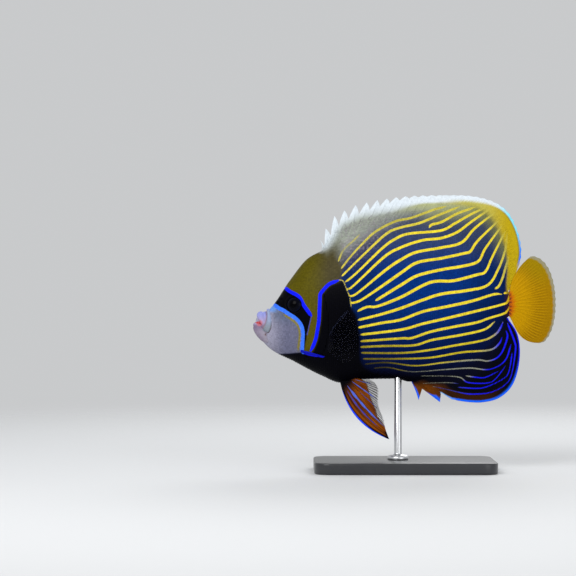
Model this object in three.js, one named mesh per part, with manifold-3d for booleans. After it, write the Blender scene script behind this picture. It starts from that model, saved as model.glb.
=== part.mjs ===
// Adult emperor angelfish: a still, life-size display model on a plain stand.
// Millimetres, +Z up. The head faces -X and the fish's left side faces -Y.
// The origin is the middle of the underside of the whole model.

import * as THREE from "three";
import { mergeVertices } from "three/addons/utils/BufferGeometryUtils.js";
import Module from "manifold-3d";

const wasm = await Module();
wasm.setup();

// Gaps, and how far a cutting prism reaches to each side of the body.
const GAP = 0.3;
const HALF_GAP = GAP / 2;
const REACH = 60;
// Side limits beyond the whole fish, for outlines that run out past it.
const FAR = { left: -220, right: 200, low: 40, high: 300 };
// How far to each side the slope of a line or of the skin is read.
const SLOPE_STEP = 0.5;

// The body's outline as seen from the side, [x, z] from the snout to the tail fin's root.
const BACK_LINE = [
  [-157.5, 160.5], [-149.4, 167.2], [-143.5, 168.8], [-136.8, 176], [-120, 201], [-101, 223.8],
  [-88.5, 230.5], [-57, 248.9], [-15, 258.3], [27, 257.2], [62.7, 243.1], [90, 216.3], [110, 188],
];
const BELLY_LINE = [
  [-157.5, 152], [-153, 141.4], [-138.8, 126.6], [-117.9, 116], [-88.5, 100.8], [-66.4, 92.6],
  [-41.2, 96.3], [-9.7, 96.8], [5, 93.8], [42.8, 106.1], [76.4, 128.1], [99.5, 153.3], [110, 162.6],
];
// Half widths along the body, and half thicknesses of its upper and lower edges, [x, half].
const HALF_WIDTH = [
  [-158, 4.4], [-150, 8], [-140, 12.5], [-125, 18.5], [-105, 24], [-80, 27.2], [-45, 26.8],
  [0, 22.8], [50, 15.5], [85, 9], [110, 4.8],
];
const UPPER_EDGE = [[-158, 0.7], [-100, 0.9], [-84, 2.6], [-50, 4], [20, 4.6], [80, 3.4], [110, 2]];
const LOWER_EDGE = [[-158, 0.7], [-5, 0.9], [12, 3], [40, 4.2], [80, 3.4], [110, 2]];
// How sharply each edge falls away: 0.5 is a round edge, 1 is a sharp lens.
const UPPER_FALL = [[-158, 0.5], [-110, 0.5], [-60, 0.82], [110, 0.8]];
const LOWER_FALL = [[-158, 0.5], [-60, 0.52], [-5, 0.6], [30, 0.82], [110, 0.8]];
const BODY_STATIONS = 38;
const BODY_LEVELS = 10;
// Sections stand closer together at the head. 1 would space them evenly.
const BODY_SPACING = 0.72;
const LEAST_HALF = 0.3;
const STALK_START = 86;
const ROOT_X = 110;

// The gill opening, from the throat round the gill cover to the nape.
const GILL_LINE = [
  [-129.4, 123.6], [-106.3, 121.6], [-91.5, 120.4], [-84.2, 127.1], [-81, 139.7], [-80, 156.5],
  [-82, 174.3], [-86.4, 190.1], [-89.5, 209], [-90.5, 230],
];
const COVER_FRONT = [
  [-108, 118], [-105.2, 132.3], [-102.3, 146], [-98.6, 162.8], [-96.9, 174.3], [-94, 184],
  [-86, 193],
];
const COVER_DEPTH = 2.6;
const COVER_RISE = 0.5;
const COVER_REAR = -40;
const CHEEK_SPINE = {
  root: [-107, 126.2], tip: [-83.4, 120.6], radius: 1.7, lift: 1.7, thinning: 0.85, power: 1.3,
  steps: 5, sides: 7,
};
const GILL_STEPS = 26;
const COVER_STEPS = 16;
const GILL_TOP_X = -91;
const GILL_LOW_Z = 124;

// The jaws, as side outlines that run out past the snout. The lips are arches from one corner of
// the mouth to the other: middle is the foremost point, back and drop are how far the corners lie
// behind and below it.
const UPPER_JAW = [
  [-170, 160.2], [-155, 158.6], [-150.4, 156], [-149, 147.6], [-145.6, 143.6], [-141.4, 145.6],
  [-138.9, 151.5], [-138.9, 157], [-139.8, 163], [-141.4, 170.6], [-142, 178], [-170, 178],
];
const LOWER_JAW = [
  [-170, 157.6], [-156.4, 156.6], [-150.6, 152.2], [-148.8, 149.4], [-146.8, 146.2], [-145, 143],
  [-143.9, 139.6], [-142.6, 135.6], [-141.6, 131], [-145, 126], [-170, 126],
];
const MOUTH = [[-172, 162], [-150.6, 156], [-148.6, 150], [-150, 145], [-172, 150]];
const UPPER_LIP = { middle: [-150.9, 163.3], back: 2.3, drop: 9.6, half: 7, radius: 4.4, corner: 1.6 };
const LOWER_LIP = { middle: [-156.5, 153.6], back: 6.2, drop: 2, half: 6.2, radius: 2.4, corner: 1.4 };
const LIP_STEPS = 12;
const LIP_SIDES = 8;
const LIP_FALL = 1.4;

// Eyes: the ball stands proud of the cheek, inside a raised rim.
const EYE = { x: -115.8, z: 174.8, radius: 10.5, proud: 3.3, rim: 8.6, rimThick: 1.3 };
const EYE_FACETS = [20, 12];
const NOSTRILS = [[-133.2, 177.6], [-129.8, 181.2]];
const NOSTRIL = { radius: 0.9, rim: 1.3, rimThick: 0.45, depth: 4, lift: 0.4 };

// Fins. Membranes are thin, rays and spines stand up from them as ridges.
const MEMBRANE = 0.3;
const RAY_RISE = 0.5;
const SPINE_RISE = 0.9;
const SPINE_HALF = { root: 1.3, tip: 0.3 };
const WEB_DIP = 0.9;
// A ridge's height along its ray is sin(pi (start + span v)) to the power round.
const RIDGE = { start: 0.12, span: 0.86, round: 0.7 };
// How fast each fin thins from the body's thickness to the membrane's, and its rows of faces.
const THINNING = { median: 1.6, tail: 2.2, paired: 1.4 };
const ROWS = { spiny: 5, soft: 7, pelvic: 8, pectoral: 5 };
const ROOT_STEPS = 24;
const SPINY_BASE = [-87.5, 14];
const FIRST_SPINE = 1.6;
const LAST_WEB = 1.5;
const SPINE_BULGE = -1;
const SPINY_TIPS = [
  [-88.9, 243.4], [-82.6, 254.8], [-73.3, 268.1], [-62.9, 274], [-51.1, 279.5], [-39.4, 282.2],
  [-28.3, 284.6], [-18.2, 286.3], [-8.6, 287.7], [1.2, 288.7], [10.5, 289.3], [19.5, 289.7],
  [28.5, 289.9], [37.4, 290.1],
];
const SPINE_COUNT = SPINY_TIPS.length;
// The webs' notches: how deep they cut, where they turn shallow, and how far they lie from the
// spine before them as a share of the step to the next, which grows up to the last of the few.
const SPINY_NOTCHES = { shallow: 1.4, deep: 12.8, turn: 7, spread: 1.5 };
const NOTCH_PLACE = { start: 0.36, step: 0.055, last: 5 };
const SOFT_DORSAL_BASE = [18.6, 107.6];
const FIN_GAP = 0.5;
const SOFT_DORSAL_MARGIN = [
  [40.5, 289.8], [69, 289], [92.1, 283.6], [107.9, 273], [117.6, 256], [122.4, 238], [122.2, 222],
  [116, 206], [112.1, 198], [109.9, 191.2],
];
const SOFT_DORSAL_RAYS = 20;
const SOFT_DORSAL_EASE = 8;
const ANAL_BASE = [6, 107.6];
const ANAL_SPINES = [
  { root: 0.012, tip: [15, 74.5], web: [18.8, 86.4] },
  { root: 0.075, tip: [37.5, 72.3], web: [38.6, 82.2] },
  { root: 0.145, tip: [50, 75.2], web: [52.8, 74.9] },
];
const ANAL_SOFT_START = 0.19;
const ANAL_MARGIN = [
  [56, 73.9], [68, 72.3], [82, 72.1], [98.4, 76.1], [111.6, 87.2], [118.9, 104], [121.5, 126],
  [118.4, 145], [108.7, 160.2],
];
const ANAL_RAYS = 20;
const ANAL_BULGE = 0.6;
const TAIL_MARGIN = [
  [133.1, 225.8], [139.8, 224.6], [147, 219.4], [153.4, 209.2], [157.8, 193.2], [159.3, 175],
  [157.9, 158.5], [153.6, 145], [146.8, 135.6], [138.3, 134.2],
];
const TAIL_RAYS = 17;
const TAIL_BULGE = { top: 4.2, low: 4.8 };
const PELVIC = {
  front: [-67.8, 97], back: [-54, 97.5], half: 4.2, splay: 9, thick: 1.7, bulge: 12, straighten: 8,
  rays: [0.1, 0.2, 0.45, 0.62, 0.84], rear: 1,
  margin: [
    [-16.3, 34.1], [-20.3, 44.9], [-22.6, 56], [-26, 64.3], [-28, 72], [-27.8, 80.5], [-28, 87],
    [-31, 92.6], [-37.7, 96.6],
  ],
};
const PECTORAL = {
  top: [-79.4, 142.5], bottom: [-81.6, 128.5], sunk: 1.8, splay: 14, thick: 1.3, rays: 14, bulge: 2,
  margin: [[-61, 169], [-53.5, 159], [-50, 148], [-49, 137], [-51, 126], [-57, 117.5], [-67, 114.5]],
};

// The stand: a flat base and one upright rod that ends in a socket in the belly.
const STAND = { length: 190, width: 104, thick: 12, corner: 16, edge: 2, cornerSteps: 5 };
const ROD = {
  x: -6.6, radius: 4, foot: 11, footHigh: 5, footSide: 3, footRound: 1.2, neck: 1.5, chamfer: 0.6,
  socket: 9, facets: 28, holeFacets: 24,
};

const COLOURS = {
  blue: 0x14306e,
  face: 0x8d8797,
  lips: 0xb9afc6,
  eye: 0x0b0c14,
  cover: 0x4c4a28,
  yellow: 0xc9941a,
  spines: 0xc9c6a8,
  anal: 0x0d1030,
  pelvic: 0x9a5a18,
  clear: 0x5a6470,
  base: 0x26282b,
  rod: 0xa9adb2,
};

// A smooth function through [x, value] points that never overshoots them.
function through(points) {
  const count = points.length;
  const slopes = points.slice(1).map((p, i) => (p[1] - points[i][1]) / (p[0] - points[i][0]));
  const tangents = points.map((p, i) => {
    if (i === 0) return slopes[0];
    if (i === count - 1) return slopes[count - 2];
    const [a, b] = [slopes[i - 1], slopes[i]];
    return a * b <= 0 ? 0 : (2 * a * b) / (a + b);
  });
  return (x) => {
    let i = 0;
    while (i < count - 2 && x > points[i + 1][0]) i += 1;
    const wide = points[i + 1][0] - points[i][0];
    const t = THREE.MathUtils.clamp((x - points[i][0]) / wide, 0, 1);
    const [t2, t3] = [t * t, t * t * t];
    return (2 * t3 - 3 * t2 + 1) * points[i][1] + (t3 - 2 * t2 + t) * wide * tangents[i]
      + (3 * t2 - 2 * t3) * points[i + 1][1] + (t3 - t2) * wide * tangents[i + 1];
  };
}

const backAt = through(BACK_LINE);
const bellyAt = through(BELLY_LINE);
const widthAt = through(HALF_WIDTH);
const upperEdgeAt = through(UPPER_EDGE);
const lowerEdgeAt = through(LOWER_EDGE);
const upperFallAt = through(UPPER_FALL);
const lowerFallAt = through(LOWER_FALL);

// Half thickness of the body at x and level n, from -1 at the belly line to 1 at the back line:
// edge + (width - edge) * (1 - n^2)^fall.
function halfAtLevel(x, n) {
  const edge = n > 0 ? upperEdgeAt(x) : lowerEdgeAt(x);
  const fall = n > 0 ? upperFallAt(x) : lowerFallAt(x);
  return edge + (widthAt(x) - edge) * Math.max(0, 1 - n * n) ** fall;
}

function halfAt(x, z) {
  const [low, high] = [bellyAt(x), backAt(x)];
  return halfAtLevel(x, THREE.MathUtils.clamp((2 * z - low - high) / (high - low), -1, 1));
}

// Outward direction of the skin at (x, z). side is -1 on the fish's left and 1 on its right.
function skinNormal(x, z, side) {
  const step = SLOPE_STEP;
  const slopeX = (halfAt(x + step, z) - halfAt(x - step, z)) / (2 * step);
  const slopeZ = (halfAt(x, z + step) - halfAt(x, z - step)) / (2 * step);
  return new THREE.Vector3(-slopeX, side, -slopeZ).normalize();
}

// A geometry from rows of points and triangle numbers, turned so that its faces point out.
function closedGeometry(points, triangles) {
  const geometry = new THREE.BufferGeometry();
  geometry.setAttribute("position", new THREE.Float32BufferAttribute(points.flat(), 3));
  let volume = 0;
  for (let k = 0; k < triangles.length; k += 3) {
    const [a, b, c] = [0, 1, 2].map((j) => new THREE.Vector3(...points[triangles[k + j]]));
    volume += a.dot(b.cross(c));
  }
  if (volume < 0) triangles.reverse();
  geometry.setIndex(triangles);
  return geometry;
}

// Closed rings of equal count joined one to the next, with a fan over each end.
function ringSolid(rings) {
  const points = rings.flat();
  const around = rings[0].length;
  const triangles = [];
  for (let i = 0; i < rings.length - 1; i += 1) {
    for (let j = 0; j < around; j += 1) {
      const [a, b] = [i * around + j, i * around + ((j + 1) % around)];
      triangles.push(a, b, b + around, a, b + around, a + around);
    }
  }
  for (const [first, ring] of [[0, rings[0]], [(rings.length - 1) * around, rings.at(-1)]]) {
    const middle = points.length;
    points.push([0, 1, 2].map((axis) => ring.reduce((sum, p) => sum + p[axis], 0) / around));
    for (let j = 0; j < around; j += 1) {
      const [a, b] = [first + j, first + ((j + 1) % around)];
      triangles.push(...(first === 0 ? [b, a, middle] : [a, b, middle]));
    }
  }
  return closedGeometry(points, triangles);
}

// The whole body as upright sections from the snout to the tail's root, grown by so much.
function bodyGeometry(grow) {
  const [from, to] = [BACK_LINE[0][0] - grow, ROOT_X + grow];
  const rings = [];
  for (let i = 0; i <= BODY_STATIONS; i += 1) {
    const t = i / BODY_STATIONS;
    const x = from + (to - from) * (BODY_SPACING * t + (1 - BODY_SPACING) * t * t);
    const [low, high] = [bellyAt(x) - grow, backAt(x) + grow];
    const ring = [];
    for (let j = 0; j <= BODY_LEVELS; j += 1) {
      const n = Math.sin((Math.PI / 2) * ((2 * j) / BODY_LEVELS - 1));
      const half = Math.max(halfAtLevel(x, n) + grow, LEAST_HALF);
      ring.push([x, -half, (low + high + n * (high - low)) / 2]);
    }
    rings.push([...ring, ...ring.map(([px, y, z]) => [px, -y, z]).reverse()]);
  }
  return ringSolid(rings);
}

// Between three.js geometry and solids that can be joined and cut.
function solid(geometry) {
  const bare = geometry.clone();
  bare.deleteAttribute("normal");
  bare.deleteAttribute("uv");
  const merged = mergeVertices(bare, 1e-4);
  return new wasm.Manifold(new wasm.Mesh({
    numProp: 3,
    vertProperties: new Float32Array(merged.attributes.position.array),
    triVerts: new Uint32Array(merged.index.array),
  }));
}

function largest(shape) {
  return shape.decompose().sort((a, b) => b.volume() - a.volume())[0];
}

function geometryOf(shape) {
  const mesh = largest(shape).getMesh();
  const geometry = new THREE.BufferGeometry();
  geometry.setAttribute("position", new THREE.Float32BufferAttribute(mesh.vertProperties, 3));
  geometry.setIndex(new THREE.Uint32BufferAttribute(mesh.triVerts, 1));
  return geometry;
}

// An outline moved outward by so much along its own normals.
function outset(points, distance) {
  const area = THREE.ShapeUtils.area(points.map(([x, y]) => new THREE.Vector2(x, y)));
  const turn = Math.sign(area);
  return points.map(([x, z], i) => {
    const before = points.at(i - 1);
    const after = points[(i + 1) % points.length];
    const along = new THREE.Vector2(after[0] - before[0], after[1] - before[1]).normalize();
    return [x + along.y * distance * turn, z - along.x * distance * turn];
  });
}

// A side outline carried through the body from y = -REACH to y = REACH, or over one side only.
function prism(points, side = 0) {
  const shape = new THREE.Shape(points.map(([x, z]) => new THREE.Vector2(x, z)));
  const depth = side === 0 ? 2 * REACH : REACH;
  const geometry = new THREE.ExtrudeGeometry(shape, { depth, bevelEnabled: false });
  geometry.rotateX(Math.PI / 2);
  geometry.translate(0, side < 0 ? 0 : REACH, 0);
  return solid(geometry);
}

function smooth(points, count) {
  const curve = new THREE.SplineCurve(points.map(([x, z]) => new THREE.Vector2(x, z)));
  return curve.getPoints(count).map((p) => [p.x, p.y]);
}

// A tapering tube through points, with a radius at each.
function horn(points, radii, sides) {
  const curve = new THREE.CatmullRomCurve3(points);
  const across = new THREE.Vector3();
  const up = new THREE.Vector3();
  const rings = points.map((point, i) => {
    const along = curve.getTangent(i / (points.length - 1));
    across.crossVectors(along, new THREE.Vector3(0, 0, 1)).normalize();
    up.crossVectors(across, along);
    return Array.from({ length: sides }, (_, j) => {
      const angle = (2 * Math.PI * j) / sides;
      const place = point.clone().addScaledVector(across, radii[i] * Math.cos(angle));
      return place.addScaledVector(up, radii[i] * Math.sin(angle)).toArray();
    });
  });
  return solid(ringSolid(rings));
}

// A torus or cylinder set on the skin, its axis along the skin's normal.
function onSkin(geometry, x, z, side, lift) {
  const normal = skinNormal(x, z, side);
  const turn = new THREE.Quaternion().setFromUnitVectors(new THREE.Vector3(0, 0, 1), normal);
  const place = new THREE.Vector3(x, side * halfAt(x, z), z).addScaledVector(normal, lift);
  return geometry.applyMatrix4(new THREE.Matrix4().compose(place, turn, new THREE.Vector3(1, 1, 1)));
}

// A fin as a thin plate: a grid of columns along its root and rows out to its margin, offset to
// both faces along one direction, so both faces split into triangles alike.
function finSolid(columns, rows, point, half, across) {
  const points = [];
  const index = (face, i, j) => (face * columns + i) * (rows + 1) + j;
  for (const face of [-1, 1]) {
    for (let i = 0; i < columns; i += 1) {
      for (let j = 0; j <= rows; j += 1) {
        const v = j / rows;
        points.push(point(i, v).clone().addScaledVector(across, face * half(i, v)).toArray());
      }
    }
  }
  const triangles = [];
  const quad = (a, b, c, d) => triangles.push(a, b, c, a, c, d);
  for (let i = 0; i < columns - 1; i += 1) {
    for (let j = 0; j < rows; j += 1) {
      quad(index(0, i, j), index(0, i + 1, j), index(0, i + 1, j + 1), index(0, i, j + 1));
      triangles.push(index(1, i, j), index(1, i + 1, j + 1), index(1, i + 1, j));
      triangles.push(index(1, i, j), index(1, i, j + 1), index(1, i + 1, j + 1));
    }
    quad(index(1, i, 0), index(1, i + 1, 0), index(0, i + 1, 0), index(0, i, 0));
    quad(index(0, i, rows), index(0, i + 1, rows), index(1, i + 1, rows), index(1, i, rows));
  }
  const last = columns - 1;
  for (let j = 0; j < rows; j += 1) {
    quad(index(0, 0, j), index(0, 0, j + 1), index(1, 0, j + 1), index(1, 0, j));
    quad(index(1, last, j), index(1, last, j + 1), index(0, last, j + 1), index(0, last, j));
  }
  return closedGeometry(points, triangles);
}

// A side curve read by its own length: at(0) is its start and at(1) its end.
function curveOf(points) {
  const curve = new THREE.SplineCurve(points.map(([x, z]) => new THREE.Vector2(x, z)));
  return (t) => {
    const p = curve.getPointAt(THREE.MathUtils.clamp(t, 0, 1));
    return new THREE.Vector3(p.x, 0, p.y);
  };
}

// The stretch of the back or belly line from one x to another, GAP clear of the body.
function rootLine(lineAt, [from, to], outward) {
  const points = Array.from({ length: ROOT_STEPS + 1 }, (_, i) => {
    const x = from + ((to - from) * i) / ROOT_STEPS;
    const slope = (lineAt(x + SLOPE_STEP) - lineAt(x - SLOPE_STEP)) / (2 * SLOPE_STEP);
    const along = new THREE.Vector2(1, slope).normalize();
    return [x - outward * along.y * GAP, lineAt(x) + outward * along.x * GAP];
  });
  return curveOf(points);
}

// Straight or bulging ray from root to tip, bulge being the middle's offset in the side plane.
function alongRay(root, tip, v, bulge = 0) {
  const ray = new THREE.Vector3().subVectors(tip, root);
  const aside = new THREE.Vector3(-ray.z, 0, ray.x).normalize();
  return root.clone().addScaledVector(ray, v).addScaledVector(aside, 4 * bulge * v * (1 - v));
}

// Half thickness of a fin: the body's edge at the root, running out to the membrane.
function taper(rootHalf, v, power) {
  return MEMBRANE + (rootHalf - MEMBRANE) * (1 - v) ** power;
}

// Extra half thickness of a ray or spine, none at the root and little at the tip.
function ridge(rise, v) {
  return rise * Math.sin(Math.PI * Math.min(1, RIDGE.start + RIDGE.span * v)) ** RIDGE.round;
}

// A spine is three columns of a fin's grid, its middle raised, their roots on the fin's root line.
// Each column is a root, a tip, its bulge and its rise.
function spineColumns(rootAt, place, spread, tip, bulge) {
  const ray = new THREE.Vector3().subVectors(tip, rootAt(place)).normalize();
  const aside = new THREE.Vector3().subVectors(rootAt(place + spread), rootAt(place - spread));
  aside.addScaledVector(ray, -aside.dot(ray)).normalize();
  return [-1, 0, 1].map((edge) => ({
    root: rootAt(place + edge * spread),
    tip: tip.clone().addScaledVector(aside, edge * SPINE_HALF.tip),
    bulge,
    rise: edge === 0 ? SPINE_RISE : 0,
  }));
}

// Soft rays as columns: every second one is a ray, and the web between ends a little lower.
function rayColumns(count, rootAt, tipAt, bulgeAt) {
  return Array.from({ length: 2 * count + 1 }, (_, i) => {
    const place = i / (2 * count);
    const isRay = i % 2 === 1;
    const [root, tip] = [rootAt(place), tipAt(place)];
    const ray = new THREE.Vector3().subVectors(root, tip).normalize();
    if (!isRay) tip.addScaledVector(ray, WEB_DIP);
    return { root, tip, bulge: bulgeAt(place), rise: isRay ? RAY_RISE : 0 };
  });
}

const across = new THREE.Vector3(0, 1, 0);

// A median fin from its columns. edgeAt gives the body's half thickness where each column starts.
function medianFin(columns, rows, edgeAt, power) {
  const point = (i, v) => alongRay(columns[i].root, columns[i].tip, v, columns[i].bulge);
  const half = (i, v) => taper(edgeAt(columns[i].root), v, power) + ridge(columns[i].rise, v);
  return finSolid(columns.length, rows, point, half, across);
}

const bodyFull = solid(bodyGeometry(0));
const bodyClear = solid(bodyGeometry(GAP));
const bodyCore = solid(bodyGeometry(-COVER_DEPTH));
const bodyCoreClear = solid(bodyGeometry(-COVER_DEPTH - GAP));
const bodyProud = solid(bodyGeometry(COVER_RISE));

const gillOutline = [
  [FAR.left, GILL_LOW_Z], ...smooth(GILL_LINE, GILL_STEPS), [GILL_TOP_X, FAR.high], [FAR.left, FAR.high],
];
const coverOutline = [
  ...smooth(COVER_FRONT, COVER_STEPS),
  [COVER_REAR, COVER_FRONT.at(-1)[1]],
  [COVER_REAR, COVER_FRONT[0][1]],
];

function lipTube({ middle, back, drop, half, radius, corner }) {
  const points = [];
  const radii = [];
  for (let i = 0; i <= LIP_STEPS; i += 1) {
    const angle = Math.PI * (i / LIP_STEPS - 0.5);
    const fall = 1 - Math.cos(angle);
    points.push(new THREE.Vector3(
      middle[0] + back * Math.sin(angle) ** 2,
      half * Math.sin(angle),
      middle[1] - drop * fall,
    ));
    radii.push(THREE.MathUtils.lerp(radius, corner, fall ** LIP_FALL));
  }
  return horn(points, radii, LIP_SIDES);
}

function eyeBall(side, grow) {
  const ball = new THREE.SphereGeometry(EYE.radius + grow, ...EYE_FACETS);
  return onSkin(ball, EYE.x, EYE.z, side, EYE.proud - EYE.radius);
}

function upperJaw() {
  return bodyFull.intersect(prism(UPPER_JAW)).add(lipTube(UPPER_LIP));
}

function lowerJaw() {
  const jaw = bodyFull.intersect(prism(LOWER_JAW)).add(lipTube(LOWER_LIP));
  const upperLip = lipTube({
    ...UPPER_LIP, half: UPPER_LIP.half + GAP, radius: UPPER_LIP.radius + GAP, corner: UPPER_LIP.corner + GAP,
  });
  return jaw.subtract(prism(outset(UPPER_JAW, GAP))).subtract(upperLip);
}

function head() {
  let shape = bodyFull.intersect(prism(outset(gillOutline, -HALF_GAP)));
  for (const outline of [UPPER_JAW, LOWER_JAW, MOUTH]) {
    shape = shape.subtract(prism(outset(outline, GAP)));
  }
  for (const lip of [UPPER_LIP, LOWER_LIP]) {
    shape = shape.subtract(lipTube({
      ...lip, half: lip.half + GAP, radius: lip.radius + GAP, corner: lip.corner + GAP,
    }));
  }
  shape = shape.subtract(prism(outset(coverOutline, HALF_GAP)).subtract(bodyCoreClear));
  for (const side of [-1, 1]) {
    const rim = new THREE.TorusGeometry(EYE.rim, EYE.rimThick, 5, 18);
    shape = shape.add(solid(onSkin(rim, EYE.x, EYE.z, side, 0)));
    shape = shape.subtract(solid(eyeBall(side, GAP)));
    for (const [x, z] of NOSTRILS) {
      const rimlet = new THREE.TorusGeometry(NOSTRIL.rim, NOSTRIL.rimThick, 4, 8);
      const pit = new THREE.CylinderGeometry(NOSTRIL.radius, NOSTRIL.radius, NOSTRIL.depth, 6);
      pit.rotateX(Math.PI / 2);
      shape = shape.add(solid(onSkin(rimlet, x, z, side, 0)));
      shape = shape.subtract(solid(onSkin(pit, x, z, side, NOSTRIL.lift)));
    }
  }
  return shape;
}

function gillCover(side) {
  const { root, tip, radius, lift, thinning, power, steps, sides } = CHEEK_SPINE;
  const points = Array.from({ length: steps + 1 }, (_, i) => {
    const t = i / steps;
    const [x, z] = [root[0] + (tip[0] - root[0]) * t, root[1] + (tip[1] - root[1]) * t];
    return new THREE.Vector3(x, side * (halfAt(x, z) + lift * Math.sin((Math.PI / 2) * t)), z);
  });
  const radii = points.map((_, i) => radius * (1 - thinning * (i / steps) ** power));
  const plate = bodyProud.intersect(prism(coverOutline, side)).subtract(bodyCore);
  const within = plate.intersect(prism(outset(gillOutline, -HALF_GAP)));
  const front = prism(outset(coverOutline, -HALF_GAP));
  return within.intersect(front).add(horn(points, radii, sides).intersect(front));
}

function torso() {
  const { x, radius, socket, holeFacets } = ROD;
  const hole = new THREE.CylinderGeometry(radius + GAP, radius + GAP, 2 * socket, holeFacets);
  hole.rotateX(Math.PI / 2);
  hole.translate(x, 0, bellyAt(x));
  const { left, low, high } = FAR;
  const before = prism([[left, low], [STALK_START, low], [STALK_START, high], [left, high]]);
  const behindGill = bodyFull.intersect(before).subtract(prism(outset(gillOutline, HALF_GAP)));
  return behindGill.subtract(solid(hole));
}

function tailStalk() {
  const from = STALK_START + GAP;
  const { right, low, high } = FAR;
  return bodyFull.intersect(prism([[from, low], [right, low], [right, high], [from, high]]));
}

function dorsalSpiny() {
  const { shallow, deep, turn, spread } = SPINY_NOTCHES;
  const notchPlace = (i) => NOTCH_PLACE.start + NOTCH_PLACE.step * Math.min(i, NOTCH_PLACE.last);
  const root = rootLine(backAt, [SPINY_BASE[0], SOFT_DORSAL_BASE[0] - FIN_GAP], 1);
  const stretch = SOFT_DORSAL_BASE[0] - SPINY_BASE[0];
  const spacing = (SPINY_BASE[1] - SPINY_BASE[0]) / (SPINE_COUNT - 1);
  const placeOf = (i) => (FIRST_SPINE + spacing * i) / stretch;
  const tipOf = (i) => new THREE.Vector3(SPINY_TIPS[i][0], 0, SPINY_TIPS[i][1]);
  const columns = [];
  for (let i = 0; i < SPINE_COUNT; i += 1) {
    columns.push(...spineColumns(root, placeOf(i), SPINE_HALF.root / stretch, tipOf(i), SPINE_BULGE));
    if (i === SPINE_COUNT - 1) break;
    const webRoot = root(placeOf(i + 0.5));
    const notch = tipOf(i).lerp(tipOf(i + 1), notchPlace(i));
    const ray = new THREE.Vector3().subVectors(notch, webRoot).normalize();
    const depth = shallow + deep / (1 + Math.exp((i + 0.5 - turn) / spread));
    const webTip = notch.addScaledVector(ray, -depth);
    columns.push({ root: webRoot, tip: webTip, bulge: SPINE_BULGE, rise: 0 });
  }
  const lastTip = tipOf(SPINE_COUNT - 1).add(new THREE.Vector3(LAST_WEB, 0, 0));
  columns.push({ root: root(1), tip: lastTip, bulge: SPINE_BULGE, rise: 0 });
  return medianFin(columns, ROWS.spiny, (spot) => upperEdgeAt(spot.x), THINNING.median);
}

function dorsalSoft() {
  const margin = curveOf(SOFT_DORSAL_MARGIN);
  const bulge = (place) => -(1 - place ** SOFT_DORSAL_EASE) - Math.sin(Math.PI * place);
  const columns = rayColumns(SOFT_DORSAL_RAYS, rootLine(backAt, SOFT_DORSAL_BASE, 1), margin, bulge);
  return medianFin(columns, ROWS.soft, (spot) => upperEdgeAt(spot.x), THINNING.median);
}

function analFin() {
  const root = rootLine(bellyAt, ANAL_BASE, -1);
  const margin = curveOf(ANAL_MARGIN);
  const spread = SPINE_HALF.root / (ANAL_BASE[1] - ANAL_BASE[0]);
  const columns = [];
  for (const [i, spine] of ANAL_SPINES.entries()) {
    const next = i + 1 < ANAL_SPINES.length ? ANAL_SPINES[i + 1].root : ANAL_SOFT_START;
    const [tip, web] = [spine.tip, spine.web].map(([x, z]) => new THREE.Vector3(x, 0, z));
    columns.push(...spineColumns(root, spine.root, spread, tip, ANAL_BULGE));
    columns.push({ root: root((spine.root + next) / 2), tip: web, bulge: ANAL_BULGE, rise: 0 });
  }
  const rest = (place) => root(ANAL_SOFT_START + (1 - ANAL_SOFT_START) * place);
  const bulge = (place) => ANAL_BULGE + Math.sin(Math.PI * place);
  columns.push(...rayColumns(ANAL_RAYS, rest, margin, bulge));
  return medianFin(columns, ROWS.soft, (spot) => lowerEdgeAt(spot.x), THINNING.median);
}

function tailFin() {
  const [low, high] = [bellyAt(ROOT_X), backAt(ROOT_X)];
  const root = (place) => new THREE.Vector3(ROOT_X + GAP, 0, high + (low - high) * place);
  const bulge = (place) => (place < 0.5 ? TAIL_BULGE.top : TAIL_BULGE.low) * (1 - 2 * place);
  const columns = rayColumns(TAIL_RAYS, root, curveOf(TAIL_MARGIN), bulge);
  return medianFin(columns, ROWS.soft, (spot) => halfAt(ROOT_X, spot.z), THINNING.tail);
}

// A paired fin starts inside the body and is cut off GAP clear of the skin.
function pairedFin(columns, rows, rootHalf, sideways) {
  const point = (i, v) => {
    const spot = alongRay(columns[i].root, columns[i].tip, v, columns[i].bulge);
    return spot.setY(sideways(columns[i].root, v));
  };
  const half = (i, v) => taper(rootHalf, v, THINNING.paired) + ridge(columns[i].rise, v);
  return solid(finSolid(columns.length, rows, point, half, across)).subtract(bodyClear);
}

function between([x0, z0], [x1, z1]) {
  return (t) => new THREE.Vector3(x0 + (x1 - x0) * t, 0, z0 + (z1 - z0) * t);
}

// The spine first, then each soft ray with a stretch of web behind it.
function pelvicFin(side) {
  const { front, back, half, splay, thick, bulge, straighten, rays, rear, margin } = PELVIC;
  const tips = curveOf(margin);
  const roots = between(front, back);
  const column = (place, rise) => ({
    root: roots(place), tip: tips(place), bulge: -bulge * (1 - place) ** straighten, rise,
  });
  const columns = spineColumns(roots, 0, SPINE_HALF.root / (back[0] - front[0]), tips(0), -bulge);
  for (const [i, place] of rays.entries()) {
    const next = i + 1 < rays.length ? rays[i + 1] : rear;
    columns.push(column(place, RAY_RISE), column((place + next) / 2, 0));
  }
  columns.push(column(rear, 0));
  return pairedFin(columns, ROWS.pelvic, thick, (root, v) => side * (half + splay * v));
}

function pectoralFin(side) {
  const { top, bottom, sunk, splay, thick, rays, bulge, margin } = PECTORAL;
  const bulgeAt = (place) => bulge * (1 - 2 * place);
  const columns = rayColumns(rays, between(top, bottom), curveOf(margin), bulgeAt);
  const sideways = (root, v) => side * (halfAt(root.x, root.z) - sunk + splay * v);
  const fin = pairedFin(columns, ROWS.pectoral, thick, sideways);
  return fin.subtract(prism(outset(gillOutline, HALF_GAP)));
}

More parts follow.
